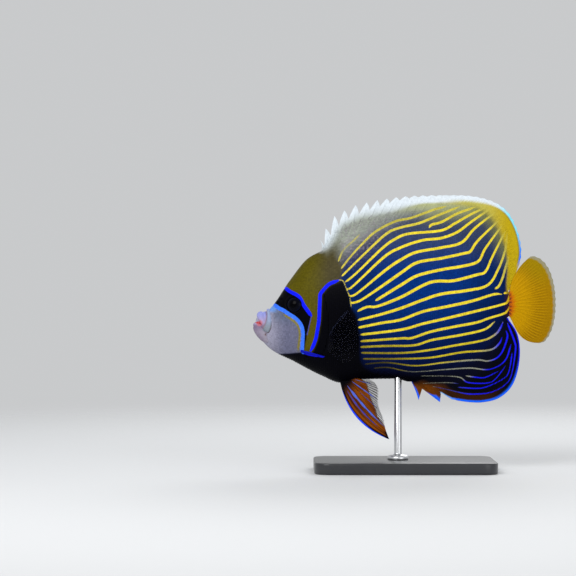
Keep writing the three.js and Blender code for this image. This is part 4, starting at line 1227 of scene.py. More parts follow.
# How far the outer rays bow, above and below, and how late the lowest one does.
TAIL_BULGE_TOP, TAIL_BULGE_LOW, TAIL_LATE_LOW = 4.4, 6.2, 1.4
tail_u = np.linspace(0, 1, TAIL_RAYS * TAIL_COLUMNS_PER_RAY + 1)
tail_root_z = mix(back_at(ROOT_X), belly_at(ROOT_X), tail_u)
tail_root = np.stack([np.full(tail_u.size, ROOT_X + 0.2), tail_root_z], -1)
tail_tip = curve_of(TAIL_MARGIN)(tail_u)
between_rays = np.cos(np.pi * TAIL_RAYS * tail_u)[:, None] ** 2
tail_tip = tail_tip + (tail_root - tail_tip) * TAIL_SCALLOP * between_rays
tail_v = np.concatenate([[-0.06, -0.03], np.linspace(0, 1, 60)])
tail_bulge = TAIL_BULGE_TOP * np.maximum(1 - 2 * tail_u, 0)
tail_bulge = tail_bulge - TAIL_BULGE_LOW * np.maximum(2 * tail_u - 1, 0)
tail_middle = along_rays(tail_root, tail_tip, tail_v, tail_bulge, mix(1.0, TAIL_LATE_LOW, tail_u))
tail_ridge = TAIL_RAY_RISE * branching(tail_u[:, None], tail_v[None, :], TAIL_RAYS)
tail_ridge = tail_ridge * ray_height(tail_v)
tail_root_half = half_at(np.full(tail_u.size, float(ROOT_X)), tail_root[:, 1])[:, None]
tail_half = fall_off(tail_root_half, tail_v[None, :], 2.2)
tail_half = tail_half - TAIL_COAT * (1 - ease(0.1, 0.35, tail_v))
tail_half = np.maximum(tail_half, RIM_HALF) + tail_ridge * ease(0.05, 0.25, tail_v)
tail_points, tail_faces = plate(tail_middle, tail_half)


def tail_marks(u, v):
    """Amber, darker between the rays, olive above, a ragged flame at the root, grey at the rim."""
    ray = branching(u, v, TAIL_RAYS)
    streak = 0.5 + 0.5 * np.sin(np.pi * (9 * u + 0.3)) * np.sin(np.pi * (23 * u + 0.1))
    reach = mix(0.1, 0.2, streak) * np.sin(np.pi * np.clip(u, 0, 1)) ** 0.5
    rim = mix(0.905, 0.955, u)
    colour = lay(np.broadcast_to(AMBER, u.shape + (3,)), [
        (AMBER_DARK, 0.8 * ease(0.3, 0.9, v)),
        (paint(128, 90, 0), mix(0.45, 0.75, u) * ease(0.25, 0.7, v) * (1 - ray)),
        (paint(146, 126, 4), 0.6 * ease(0.45, 0.1, u) * ease(0.35, 0.85, v)),
        (FLAME, 0.8 * ease(reach + 0.03, 0.3 * reach, v)),
        (PLUM, 0.85 * ease(0.075, 0.02, v) * ease(0.25, 0.7, streak)),
        (paint(146, 144, 120), 0.85 * ease(rim, rim + 0.035, v)),
    ])
    flat = colour.reshape(-1, 3)
    ones = np.ones(len(flat))
    return {"Ground": flat, "LineTint": flat, "Line": FAR * ones, "Tone": ones}


def both(grid):
    """A grid's values for the two faces of its plate."""
    return np.concatenate([grid[None], grid[None]])


u_grid, v_grid = grid_of(tail_u, tail_v)
make_piece(
    "tail_fin", tail_points, tail_faces, fin_finish, nodes=("tail_fin",),
    paint=tail_marks(both(u_grid), both(v_grid)),
)

# %% [markdown]
# The pelvic fins hang from the belly: a blue-edged spine in front, then five rays over orange web
# that parts into filaments behind. Their paint follows their own grid, not the lattice.

# %% The pelvic fins
PELVIC = {
    "front": (-67.8, 97), "back": (-54, 97.5), "half": 4.2, "splay": 9, "bulge": 12,
    "straighten": 8, "columns": 241, "rows": 60, "filaments": 24,
    "margin": [(-16.3, 34.1), (-20.3, 44.9), (-22.6, 56), (-26, 64.3), (-28, 72), (-27.8, 80.5),
               (-28, 87), (-31, 92.6), (-37.7, 96.6)],
}
# Where the spine, the five rays and the web's rear end meet the margin, as a share of it. Then
# each ray's half width in mm, the share of its length where it starts and ends, and its colour.
PELVIC_RAYS = [0, 0.1, 0.2, 0.45, 0.62, 0.84, 1.0]
PELVIC_RAY_HALF = np.array([0, 0.4, 0.85, 0.45, 0.62, 0.42, 0])
PELVIC_RAY_START = np.array([0, 0.22, 0.12, 0.45, 0.12, 0.1, 0])
PELVIC_RAY_END = np.array([0, 0.85, 1.05, 0.96, 0.96, 0.8, 0])
PELVIC_RAY_COLOURS = np.array([
    BLACK, paint(64, 66, 160), paint(84, 108, 216), paint(66, 82, 170), paint(92, 104, 196),
    paint(96, 104, 170), BLACK,
])
RAY_LEAST = 0.05
# How far out the web stays whole, for shares of the margin.
PELVIC_WEB = ([0, 0.2, 0.25, 0.5, 0.7, 0.84, 1], [1.2, 1.1, 0.84, 0.8, 0.66, 0.56, 0.45])


def own_marks(colour, line_colour, distance, solid):
    """Marks for a piece that has its own: flat lists of ground, line colour, line and solidity."""
    wide = distance.shape + (3,)
    return {
        "Ground": np.broadcast_to(colour, wide).reshape(-1, 3),
        "LineTint": np.broadcast_to(line_colour, wide).reshape(-1, 3),
        "Line": distance.ravel(), "Tone": np.ones(distance.size), "Solid": solid.ravel(),
    }


def plain_marks(colour, points):
    """Marks for a piece with no line on it."""
    return own_marks(colour, colour, np.full(len(points), FAR), np.ones(len(points)))


def pelvic_fin(side):
    """Columns from the spine (u = 0) to the web's rear end (u = 1). y = side (half + splay v),
    and a column bows by bulge (1 - u)^straighten."""
    u, v = np.linspace(0, 1, PELVIC["columns"]), fin_rows(PELVIC["rows"], 0.04)
    root = over(*np.array([PELVIC["front"], PELVIC["back"]]), u)
    tip = curve_of(PELVIC["margin"])(u)
    middle = along_rays(root, tip, v, -PELVIC["bulge"] * (1 - u) ** PELVIC["straighten"])
    middle[..., 1] = side * (PELVIC["half"] + PELVIC["splay"] * v)[None, :]
    uu, vv = grid_of(u, v)
    phase = np.interp(uu, PELVIC_RAYS, np.arange(len(PELVIC_RAYS)))
    number = np.round(phase).astype(int)
    gap = np.diff(PELVIC_RAYS)[np.clip(phase.astype(int), 0, len(PELVIC_RAYS) - 2)]
    from_ray = np.abs(phase - number) * (gap * mix(13, 66, np.clip(vv, 0, 1)))
    from_spine = np.linalg.norm(middle - middle[:1], axis=-1)
    filament = np.abs(((uu * PELVIC["filaments"]) % 1) - 0.5) * 2
    start, stop = PELVIC_RAY_START[number], PELVIC_RAY_END[number]
    drawn = ease(start - 0.1, start + 0.12, vv) * ease(stop + 0.06, stop - 0.2, vv)
    drawn = drawn * ease(0.08, 0.3, vv)
    waver = 1 + 0.25 * np.sin(31 * vv + 2.3 * number)
    ray_half = PELVIC_RAY_HALF[number] * waver * drawn
    ridge = 0.4 * bell(from_ray, 0.6) * ray_height(vv)
    ridge = ridge + 0.12 * filament * ease(0.4, 0.8, vv)
    spine = SPINE_RISE * bell(from_spine, 1.5) * ray_height(vv)
    points, faces = plate(middle, fall_off(1.5, vv, 1.4) + np.maximum(ridge, spine))
    # The web is orange brown in patches, with dark streaks, and grey where it parts.
    web_end = np.interp(uu, *PELVIC_WEB)
    past_web = ease(web_end - 0.08, web_end + 0.05, vv)
    patch = 0.5 + 0.5 * np.sin(5.1 * phase + 1.3) * np.sin(9 * vv + 3 * phase)
    beside_ray = bell(from_ray - ray_half - 0.5, 0.4) * drawn
    black_edge = np.maximum(ease(0.5, 0.75, vv), 0.8) * ease(3.0, 2.2, from_spine)
    black_tip = ease(0.93, 0.99, vv) * (uu < 0.12)
    colour = lay(paint(162, 84, 2), [
        (paint(112, 50, 4), patch),
        (paint(48, 20, 8), 0.9 * (1 - filament) ** 1.6),
        (paint(30, 14, 12), 0.7 * beside_ray * (ray_half > RAY_LEAST)),
        (paint(58, 28, 16), ease(0.34, 0.12, vv) * ease(0.95, 0.5, uu)),
        (paint(50, 45, 46), past_web),
        (BLACK, ease(0.2, 0.08, vv) * ease(1.1, 0.5, uu)),
        (BLACK, np.maximum(black_edge, black_tip)),
    ])
    # The lines are the spine's bright edge and the rays.
    blue_edge = mix(0.9, 1.7, ease(0.25, 0.5, vv)) * mix(1, 0.5, ease(0.6, 0.85, vv))
    blue_edge = blue_edge * ease(0.99, 0.88, vv) * ease(0.1, 0.3, vv) - from_spine
    ray_line = np.where(ray_half > RAY_LEAST, ray_half - from_ray, -1)
    distance = np.where(vv < 0.12, -0.5, np.maximum(blue_edge, ray_line))
    ray_colour = over(PELVIC_RAY_COLOURS[number], paint(96, 96, 130), ease(0.72, 0.95, vv))
    line_colour = np.where((blue_edge > ray_line)[..., None], paint(36, 72, 250), ray_colour)
    # Past the whole web only filaments are solid, but a line is nearly solid all the way.
    solid = mix(0.97, mix(0.06, 0.8, filament**4), past_web)
    solid = np.where(distance > -0.12, np.maximum(solid, 0.85), solid)
    return points, faces, own_marks(both(colour), both(line_colour), both(distance), both(solid))


for end, side in SIDES:
    points, faces, own = pelvic_fin(side)
    make_piece(f"pelvic_fin_{end}", points, faces, clear_finish,
               nodes=(f"pelvic_fin_{end}",), paint=own)

# %% [markdown]
# The breast fins stand out behind the gill covers. They are nearly as dark as the shoulder behind
# them, with a paler top ray that is a painted highlight, and turn clear between the rays on the way
# to the margin.

# %% The breast fins
PECTORAL = {
    "top": (-79.4, 142.5), "bottom": (-81.6, 128.5), "sunk": 1.8, "splay": 14, "rays": 14,
    "margin": [(-61, 169), (-53.5, 159), (-50, 148), (-49, 137), (-51, 126), (-57, 117.5),
               (-67, 114.5)],
}


def pectoral_fin(side):
    """Columns from the top ray to the bottom one. y = side (half at the root - sunk + splay v)."""
    u, v = np.linspace(0, 1, PECTORAL["rays"] * COLUMNS_PER_RAY + 1), fin_rows(44, 0.05)
    root = over(*np.array([PECTORAL["top"], PECTORAL["bottom"]]), u)
    tip = curve_of(PECTORAL["margin"])(u)
    middle = along_rays(root, tip, v, 2 * (1 - 2 * u))
    start = half_at(root[:, 0], root[:, 1]) - PECTORAL["sunk"]
    middle[..., 1] = side * (start[:, None] + PECTORAL["splay"] * v[None, :])
    uu, vv = grid_of(u, v)
    ray = branching(uu, vv, PECTORAL["rays"])
    points, faces = plate(middle, fall_off(1.2, vv, 1.4) + 0.34 * ray * ray_height(vv))
    # The paler top ray is a painted highlight.
    colour = lay(BLACK, [
        (paint(10, 11, 22), 0.8 * ray), (paint(34, 38, 58), ease(0.06, 0.01, uu)),
    ])
    distance = both(np.full(uu.shape, FAR))
    solid = mix(1.0, mix(0.16, 0.5, ray), ease(0.0, 0.35, vv))
    return points, faces, own_marks(both(colour), both(colour), distance, both(solid))


for end, side in SIDES:
    points, faces, own = pectoral_fin(side)
    make_piece(f"pectoral_fin_{end}", points, faces, clear_finish,
               nodes=(f"pectoral_fin_{end}",), paint=own)

# %% [markdown]
# The gill cover is a thin bony plate under skin, hinged in front and free behind, where a dark
# slit shows. It is a shell: outer face, inner face and a rounded rear edge, made from one grid
# whose columns run from the front edge to the free edge.

# %% The gill covers
# How high the cover's face stands over the body's form, and how deep its front edge lies.
COVER_RISE, COVER_FRONT_SINK, COVER_THICK = 0.18, 0.9, 1.1
COVER_REAR = [
    (-98.6, 121.9), (-91.8, 121.4), (-84.9, 127.8), (-81.6, 139.7), (-80.6, 156.5),
    (-82.5, 174.3), (-85.2, 186), (-86.4, 191.5),
]
cover_t, cover_s = grid_of(np.linspace(0, 1, 90), np.linspace(0, 1, 44))
cover_flat = over(curve_of(COVER_FRONT[1:])(cover_t), curve_of(COVER_REAR)(cover_t), cover_s)


def gill_cover(side):
    """t runs up the cover and s from its front edge to its free one. A point is on the body's
    form at (x, z), moved along its normal by COVER_RISE and a low wave, and sunk at the front
    edge and the ends. The inner face lies COVER_THICK below."""
    x, z = cover_flat[..., 0], cover_flat[..., 1]
    normal = skin_normal(x, z, side)
    surface = np.stack([x, side * half_at(x, z), z], -1)
    within = ease(0, 0.06, cover_t) * ease(1, 0.93, cover_t)
    rise = mix(-COVER_FRONT_SINK, COVER_RISE, ease(0, 0.25, cover_s) * within)
    rise = rise - 0.8 * ease(0.965, 1.0, cover_s)
    wave = 0.18 * np.sin(np.pi * cover_s) * np.sin(3 * np.pi * cover_t)
    outer = surface + normal * (rise + wave)[..., None]
    inner = surface + normal * (rise - COVER_THICK)[..., None]
    middle, half = (outer + inner) / 2, np.linalg.norm(outer - inner, axis=-1) / 2
    return plate(middle, half, normal)


for end, side in SIDES:
    points, faces = gill_cover(side)
    make_piece(f"gill_cover_{end}", points, faces, skin_finish,
               nodes=(f"gill_cover_{end}",), paint=marks(points))

# %% [markdown]
# At the lower corner of each gill cover a strong spine points back, the sign of this fish family.
# It is a round section carried along a short path, thinning to a point.


# %% Tubes along a path
def square_to(axis):
    """Two unit directions that are square to an axis and to each other."""
    first = unit(np.cross(axis, [0, 0, 1.0]))
    return first, np.cross(axis, first)


def circle(turn, first, second):
    """Points of a unit circle: cos(turn) first + sin(turn) second."""
    return np.cos(turn)[..., None] * first + np.sin(turn)[..., None] * second


def tube(path, radii, around):
    """A closed tube: rings of radius r at each place of the path, in the plane square to it."""
    along = unit(np.gradient(path, axis=0))
    first, second = square_to(along)
    angle = full_turn(around)
    ring = circle(angle[None, :], first[:, None], -second[:, None])
    return lofted(path[:, None] + ring * radii[:, None, None])


CHEEK_SPINE = {
    "root": (-108.5, 126.4), "tip": (-83.6, 120.7), "radius": 1.55, "lift": 2.0, "sunk": 0.6,
}
spine_t = np.linspace(0, 1, 40)
for end, side in SIDES:
    x, z = (mix(a, b, spine_t) for a, b in zip(CHEEK_SPINE["root"], CHEEK_SPINE["tip"]))
    lift = CHEEK_SPINE["lift"] * np.sin(np.pi / 2 * spine_t) - CHEEK_SPINE["sunk"]
    path = np.stack([x, side * (half_at(x, z) + lift), z], -1)
    points, faces = tube(path, CHEEK_SPINE["radius"] * (1 - 0.9 * spine_t**1.4), 16)
    make_piece(f"cheek_spine_{end}", points, faces, skin_finish,
               paint=plain_marks(paint(12, 20, 170), points))

# %% [markdown]
# The eye is a dark ball whose clear front stands a little proud of a fleshy rim. On this fish it
# hides in the black mask, so only its gloss and a faint ring show.


# %% The eyes
def ball(centre, radius, axis, around=64, rows=40):
    """A sphere whose pole points along an axis: radius (sin a cos b, sin a sin b, cos a)."""
    polar, turn = grid_of(np.linspace(0.02, np.pi - 0.02, rows), full_turn(around))
    axis = np.asarray(axis, float)
    direction = np.sin(polar)[..., None] * circle(turn, *square_to(axis))
    direction = direction + np.cos(polar)[..., None] * axis
    return lofted(centre + radius * direction), polar


eye_finish, tree, shader = new_material("eye_gloss", 0.1, specular=0.04)
tree.links.new(attribute(tree, "Ground", "Color"), shader.inputs["Base Color"])
for end, side in SIDES:
    x, z = np.array(EYE["x"]), np.array(EYE["z"])
    normal = skin_normal(x, z, side)
    centre = np.array([EYE["x"], side * float(half_at(x, z)), EYE["z"]])
    centre = centre + normal * (EYE["proud"] - EYE["radius"] - 0.25)
    (points, faces), polar = ball(centre, EYE["radius"], normal)
    # Angles from the pole: the pupil ends at 0.4, and a blue ring lies between 0.7 and 0.74.
    polar = np.concatenate([polar.ravel(), [0, np.pi]])
    colour = lay(paint(1, 1, 3), [
        (paint(4, 5, 13), ease(0.36, 0.4, polar)),
        (paint(4, 9, 34), ease(0.64, 0.7, polar) * ease(0.8, 0.74, polar)),
        (paint(2, 2, 6), ease(0.76, 0.82, polar)),
    ])
    make_piece(f"eye_{end}", points, faces, eye_finish,
               nodes=(f"eye_{end}",), paint={"Ground": colour})

# %% [markdown]
# The jaws are soft lobes: a shell over the snout's own form on each side of the mouth, with a
# round lip along its front. A modelmaker would press clay lobes and lips together and smooth the
# joints. Voxels do that here: shell and lip are fused, then smoothed.

# %% Shells and lips for the jaws
JAW_VOXEL = 0.38
SMOOTHING_ROUNDS = 5


def fused(shells):
    """Several closed shells as one smooth closed surface: voxels over them all, then smoothing."""
    sizes = np.cumsum([0] + [len(points) for points, _ in shells])
    faces = []
    for shell, before in zip(shells, sizes):
        faces += [f + before for f in turned_out(*shell)]
    clay = placed("clay", mesh_of("clay", np.concatenate([points for points, _ in shells]), faces))
    remesh = clay.modifiers.new("voxels", "REMESH")
    remesh.mode, remesh.voxel_size = "VOXEL", JAW_VOXEL * MM
    smoothing = clay.modifiers.new("smooth", "SMOOTH")
    smoothing.factor, smoothing.iterations = 0.5, SMOOTHING_ROUNDS
    done = clay.evaluated_get(bpy.context.evaluated_depsgraph_get()).to_mesh()
    out = np.zeros(len(done.vertices) * 3)
    done.vertices.foreach_get("co", out)
    quads = np.zeros(len(done.loops), int)
    done.loops.foreach_get("vertex_index", quads)
    bpy.data.objects.remove(clay)
    return out.reshape(-1, 3) / MM, [quads.reshape(-1, 4)]


def jaw_lobe(front, rear, proud, deep):
    """A band over the snout. a runs from the left tip over the middle (0) to the right tip, b
    from the front edge to the rear one. A point is on the body's form at (x, z), raised by
    proud sin(pi b)^0.7 and sunk towards both edges; the inner face lies deep below it."""
    a, b = grid_of(np.linspace(-1, 1, 81), np.linspace(0, 1, 25))
    t = 1 - np.cos(np.pi / 2 * np.abs(a))
    flat = mix(curve_of(front)(t), curve_of(rear)(t), b[..., None])
    x, z = flat[..., 0], flat[..., 1]
    side = np.sign(a)
    y = half_at(x, z) * np.minimum(1, np.abs(a) * 9) * side
    normal = skin_normal(x, z, 1) * np.stack([np.ones_like(a), side, np.ones_like(a)], -1)
    edge = ease(0, 0.22, np.minimum(b, 1 - b)) * ease(0, 0.12, 1 - np.abs(a))
    rise = mix(-1.2, 0.0, edge) + proud * np.sin(np.pi * b) ** 0.7 * edge
    surface = np.stack([x, y, z], -1) + normal * rise[..., None]
    return plate(surface - normal * deep / 2, np.full(a.shape, deep / 2), normal)


def lip(middle, back, drop, half, radius, corner_radius):
    """An arch from corner to corner, a from -1 to 1 and h = sin(pi a / 2): y = half h, x goes
    back by back h^2, z falls by drop (1 - cos(pi a / 2)), and the radius shrinks likewise."""
    a = np.linspace(-1, 1, 73)
    fall = 1 - np.cos(np.pi / 2 * a)
    sideways = np.sin(np.pi / 2 * a)
    path = np.stack([middle[0] + back * sideways**2, half * sideways, middle[1] - drop * fall], -1)
    return tube(path, mix(radius, corner_radius, fall**1.4), 24)


def chin(front, rear, deep, wider):
    """The lower jaw's lobe. b runs from the lip to the throat, a across from the left (-1) over
    the middle (0) to the right (1). With t = 1 - cos(pi a / 2), x and z go from the front line
    to the rear line by t, and y = sin(pi a / 2) times the body's half thickness there and a
    little more. The inner face is the outer one moved deep mm back and up, and narrower."""
    a, b = grid_of(np.linspace(-1, 1, 81), np.linspace(0, 1, 30))
    flat = over(curve_of(front)(b), curve_of(rear)(b), 1 - np.cos(np.pi / 2 * a))
    side_half = half_at(*np.moveaxis(curve_of(rear)(b), -1, 0)) + wider * np.sin(np.pi * b)
    outer = np.stack([flat[..., 0], side_half * np.sin(np.pi / 2 * a), flat[..., 1]], -1)
    inner = outer * np.array([1, 0.6, 1]) + np.array([0.8 * deep, 0, 0.6 * deep])
    return plate((outer + inner) / 2, np.ones(a.shape), (outer - inner) / 2)


print("clay in voxels of", JAW_VOXEL, "mm")

# %% [markdown]
# The upper jaw has a lip, a lobe behind it and the fold of the maxilla behind that. The lower one
# has a lip and a chin. Both are painted bluish white above, pinker below and towards the mouth,
# with painted shade in the grooves: brownish pink along the maxilla's front edge, dark brown along
# its lower rear edge.

# %% The jaws and lips
UPPER_LIP = {
    "middle": (-150.5, 163.3), "back": 2.3, "drop": 9.6, "half": 7.2,
    "radius": 4.4, "corner_radius": 1.8,
}
LOWER_LIP = {
    "middle": (-156.4, 153.6), "back": 6.2, "drop": 2.0, "half": 6.4,
    "radius": 2.35, "corner_radius": 1.5,
}
LOBE_FRONT = [(-153.6, 163.6), (-153.2, 160), (-151.6, 156.2), (-150.6, 152.6), (-150, 149)]
LOBE_REAR = [(-144.4, 168.6), (-143.4, 163), (-144, 156), (-146.4, 150.6), (-147.6, 147.4)]
MAXILLA_FRONT = [(-144.9, 168.4), (-144.4, 162), (-145.6, 156), (-148, 150.8), (-149, 147.6)]
MAXILLA_REAR = [
    (-141.4, 170.6), (-139.8, 163), (-138.9, 157), (-138.9, 151.5), (-141.4, 145.6),
    (-145.6, 143.4),
]
CHIN_FRONT = [
    (-157.2, 154.2), (-158.7, 150.4), (-157.2, 145.6), (-154.2, 141.1), (-150.4, 137.2),
    (-146, 134.4),
]
CHIN_REAR = [
    (-150.6, 152.2), (-148.8, 149.4), (-146.8, 146.2), (-145, 143), (-143.9, 139.6),
    (-142.6, 135.6),
]
MOUTH = (-152, 155.5)


def lip_marks(points):
    """The jaws' paint by x and z: grounds by height, then painted shade in the grooves by distance
    to their lines.
    """
    x, z = points[:, 0], points[:, 2]
    grooves = (MAXILLA_FRONT, MAXILLA_REAR[2:], CHIN_REAR)
    groove, crease, chin_line = (nearest(spline(places, 6), x, z)[0] for places in grooves)
    behind = ease(-0.6, 0.8, inside(joined([(-140, 172)], MAXILLA_FRONT, [(-130, 140)]), x, z))
    on_chin = ease(152, 145, z) * (1 - behind) * mix(0.6, 1, ease(6, 1.5, chin_line))
    fold = over(paint(134, 142, 154), paint(146, 160, 192), ease(150, 162, z))
    colour = lay(paint(172, 158, 194), [
        (paint(146, 152, 214), ease(156, 166, z)),
        (paint(128, 112, 138), ease(156.5, 152, z)),
        (paint(152, 145, 160), on_chin),
        (fold, behind),
        # Painted shade in the grooves: brownish pink along the maxilla's front, dark brown along
        # its rear.
        (paint(140, 104, 112), 0.62 * bell(groove, 0.9) * ease(148, 152, z)),
        (paint(92, 62, 60), 0.85 * bell(crease, 1.1) * ease(158, 153, z)),
        (paint(196, 104, 112), 0.8 * ease(4.2, 2.0, np.hypot(x - MOUTH[0], z - MOUTH[1]))),
    ])
    return plain_marks(colour, points)


jaws = {
    "upper_jaw": [
        jaw_lobe(LOBE_FRONT, LOBE_REAR, 0.2, 3.0), jaw_lobe(MAXILLA_FRONT, MAXILLA_REAR, 1.5, 3.2),
        lip(**UPPER_LIP),
    ],
    "lower_jaw": [chin(CHIN_FRONT, CHIN_REAR, 4.0, 0.3), lip(**LOWER_LIP)],
}
for name, shells in jaws.items():
    points, faces = fused(shells)
    make_piece(name, points, faces, skin_finish, nodes=(name,), paint=lip_marks(points))

# %% [markdown]
# Between the lips the mouth is a little open and pink. The lining is a flattened ball set back
# from the lips.

# %% The mouth's lining
LINING_RADII, LINING_MIDDLE = np.array([4.7, 6.2, 2.8]), np.array([-152, 0, 155.3])
(points, faces), polar = ball(np.zeros(3), 1.0, (1, 0, 0), 48, 30)
points = points * LINING_RADII + LINING_MIDDLE
make_piece("mouth_lining", points, faces, skin_finish,
           paint=plain_marks(paint(186, 78, 84), points))

# %% [markdown]
# The nostrils are two small round holes with fleshy rims on each side, before the eye.

# %% The nostrils
NOSTRILS = [(-133.2, 177.6), (-129.8, 181.2)]
NOSTRIL = {"radius": 1.15, "tube": 0.42, "sunk": 0.35, "turns": 28, "around": 12}
turn, around = grid_of(full_turn(NOSTRIL["turns"]), full_turn(NOSTRIL["around"]))
out, up = NOSTRIL["radius"] + NOSTRIL["tube"] * np.cos(around), NOSTRIL["tube"] * np.sin(around)
index = np.arange(turn.size).reshape(turn.shape)
corners = [index, np.roll(index, -1, 1), np.roll(index, (-1, -1), (0, 1)), np.roll(index, -1, 0)]
ring_faces = np.stack(corners, -1).reshape(-1, 4)
for end, side in SIDES:
    rings = []
    for x, z in NOSTRILS:
        normal = skin_normal(np.array(x), np.array(z), side)
        centre = np.array([x, side * float(half_at(x, z)), z]) - normal * NOSTRIL["sunk"]
        ring = circle(turn, *square_to(normal)) * out[..., None] + normal * up[..., None]
        rings.append((centre + ring).reshape(-1, 3))
    points = np.concatenate(rings)
    make_piece(f"nostrils_{end}", points, [np.concatenate([ring_faces, ring_faces + turn.size])],
               skin_finish, paint=marks(points))

# %% [markdown]
# The stand is a satin black base with rounded corners and a brushed steel rod that ends in a
# socket in the belly. The base is one profile carried round a rounded rectangle, the rod one
# profile turned round its axis.

# %% The stand
STAND = {"length": 190, "width": 104, "thick": 12, "corner": 16, "edge": 2}
ROD = {"x": -6.6, "radius": 4, "foot": 11, "foot_high": 5, "socket": 9}
CORNER_STEPS, EDGE_STEPS = 16, 6


def rounded_outline(inset):
    """A rectangle with quarter-circle corners, moved inwards by an inset at each ring."""
    corner = np.linspace(0, np.pi / 2, CORNER_STEPS)
    turns = np.concatenate([k * np.pi / 2 + corner for k in range(4)])
    quarter = np.repeat(np.arange(4), CORNER_STEPS)
    sign_x, sign_y = np.array([1, -1, -1, 1])[quarter], np.array([1, 1, -1, -1])[quarter]
    radius = STAND["corner"] - inset
    x = sign_x * (STAND["length"] / 2 - STAND["corner"]) + radius * np.cos(turns)
    y = sign_y * (STAND["width"] / 2 - STAND["corner"]) + radius * np.sin(turns)
    return x, y


bevel = np.linspace(0, np.pi / 2, EDGE_STEPS)
edge_in = STAND["edge"] * (1 - np.sin(bevel))
edge_up = STAND["edge"] * (1 - np.cos(bevel))
insets = np.concatenate([edge_in, edge_in[::-1]])
heights = np.concatenate([edge_up, STAND["thick"] - edge_up[::-1]])
rings = []
for inset, rise in zip(insets, heights):
    x, y = rounded_outline(inset)
    rings.append(np.stack([x, y, np.full_like(x, rise)], -1))
base_points, base_faces = lofted(np.array(rings))
base_finish, tree, shader = new_material("satin_black", 0.32, specular=0.5, coat=0.2)
shade = ranged(tree, noise(tree, 60, 6.0), target=(0.85, 1.25), kind="LINEAR")
black_paint = (*paint(38, 39, 43), 1.0)
tree.links.new(shaded(tree, black_paint, shade), shader.inputs["Base Color"])
grain(tree, shader, noise(tree, 2500, 3.0), 0.00004)
base = make_piece("stand_base_plate", base_points, base_faces, base_finish,
                  nodes=("stand_base",))
base.data.set_sharp_from_angle(angle=math.radians(35))

# %% [markdown]
# The rod stands on a round foot with a soft shoulder. Its finish is a noise stretched flat, so
# that the brushing runs round it.

# %% The rod
rod_low, rod_high = STAND["thick"] + 0.05, float(belly_at(ROD["x"])) + ROD["socket"] - 0.4
foot, thin, top = ROD["foot"], ROD["radius"], rod_low + ROD["foot_high"]
profile = np.array([
    (0.01, rod_low), (foot - 0.4, rod_low), (foot, rod_low + 0.4),
    (foot, mix(rod_low, top, 0.6)), (foot - 1.2, mix(rod_low, top, 0.9)), (foot - 3, top),
    (thin + 1.6, top + 0.2), (thin + 0.3, top + 0.8), (thin, top + 1.8),
    (thin, rod_high - 0.6), (thin - 0.6, rod_high), (0.01, rod_high),
])
turn = full_turn(72)
rod_rings = np.stack([
    ROD["x"] + profile[:, :1] * np.cos(turn), profile[:, :1] * np.sin(turn),
    np.broadcast_to(profile[:, 1:], (len(profile), len(turn))),
], -1)
rod_points, rod_faces = lofted(rod_rings)
rod_finish, tree, shader = new_material("brushed_steel", 0.3, metallic=1.0)
stretch = node(tree, "ShaderNodeMapping")
stretch.inputs["Scale"].default_value = (600, 600, 9000)
tree.links.new(node(tree, "ShaderNodeTexCoord").outputs["Object"], stretch.inputs["Vector"])
brushing = node(tree, "ShaderNodeTexNoise", Scale=1.0, Detail=4.0)
tree.links.new(stretch.outputs[0], brushing.inputs["Vector"])
steel = mixed(tree, brushing.outputs[0], (0.5, 0.51, 0.53, 1), (0.74, 0.75, 0.76, 1))
tree.links.new(steel, shader.inputs["Base Color"])
grain(tree, shader, brushing.outputs[0], 0.00003)
make_piece("stand_post", rod_points, rod_faces, rod_finish, nodes=("stand_rod",))

# %% [markdown]
# The body is covered with small rough scales that overlap like tiles towards the tail. They are
# real plates here, each a closed lens of sixteen triangles: eight rim points, sunk in front and
# raised behind, with a middle point above and one below. Every scale's place, normal and
# direction are whole arrays, and one function turns them into a mesh.


# %% Scales
RIM_POINTS = 8
SCALE_SEED = 7
SCALE_SINK = 0.16


def scale_mesh(root, normal, along, length, width, lift):
    """Lens plates. A rim point is root + 0.6 length cos(a) along + 0.5 width sin(a) across, its
    height over the skin rising from -SCALE_SINK in front to lift behind."""
    across = np.cross(normal, along)
    angle = np.arange(RIM_POINTS) * 2 * np.pi / RIM_POINTS
    forward, aside = np.cos(angle), np.sin(angle) * (1 + 0.12 * np.cos(angle))
    rim = root[:, None] + along[:, None] * (0.6 * length[:, None] * forward)[..., None]
    rim = rim + across[:, None] * (0.5 * width[:, None] * aside)[..., None]
    rim = rim + normal[:, None] * mix(-SCALE_SINK, lift[:, None], (forward + 1) / 2)[..., None]
    top = root + normal * (0.5 * lift + 0.03)[:, None]
    bottom = root - normal * 0.3
    points = np.concatenate([rim, top[:, None], bottom[:, None]], axis=1)
    k = np.arange(RIM_POINTS)
    after = (k + 1) % RIM_POINTS
    upper = np.stack([k, after, np.full_like(k, RIM_POINTS)], -1)
    lower = np.stack([after, k, np.full_like(k, RIM_POINTS + 1)], -1)
    one = np.concatenate([upper, lower])
    first = np.arange(len(root)) * (RIM_POINTS + 2)
    faces = (first[:, None, None] + one[None]).reshape(-1, 3)
    spot = np.concatenate([np.stack([forward, aside], -1), np.zeros((2, 2))])
    return points.reshape(-1, 3), faces, spot


BAKE_PATCH = 0.0015
print("faces in a scale", 2 * RIM_POINTS)


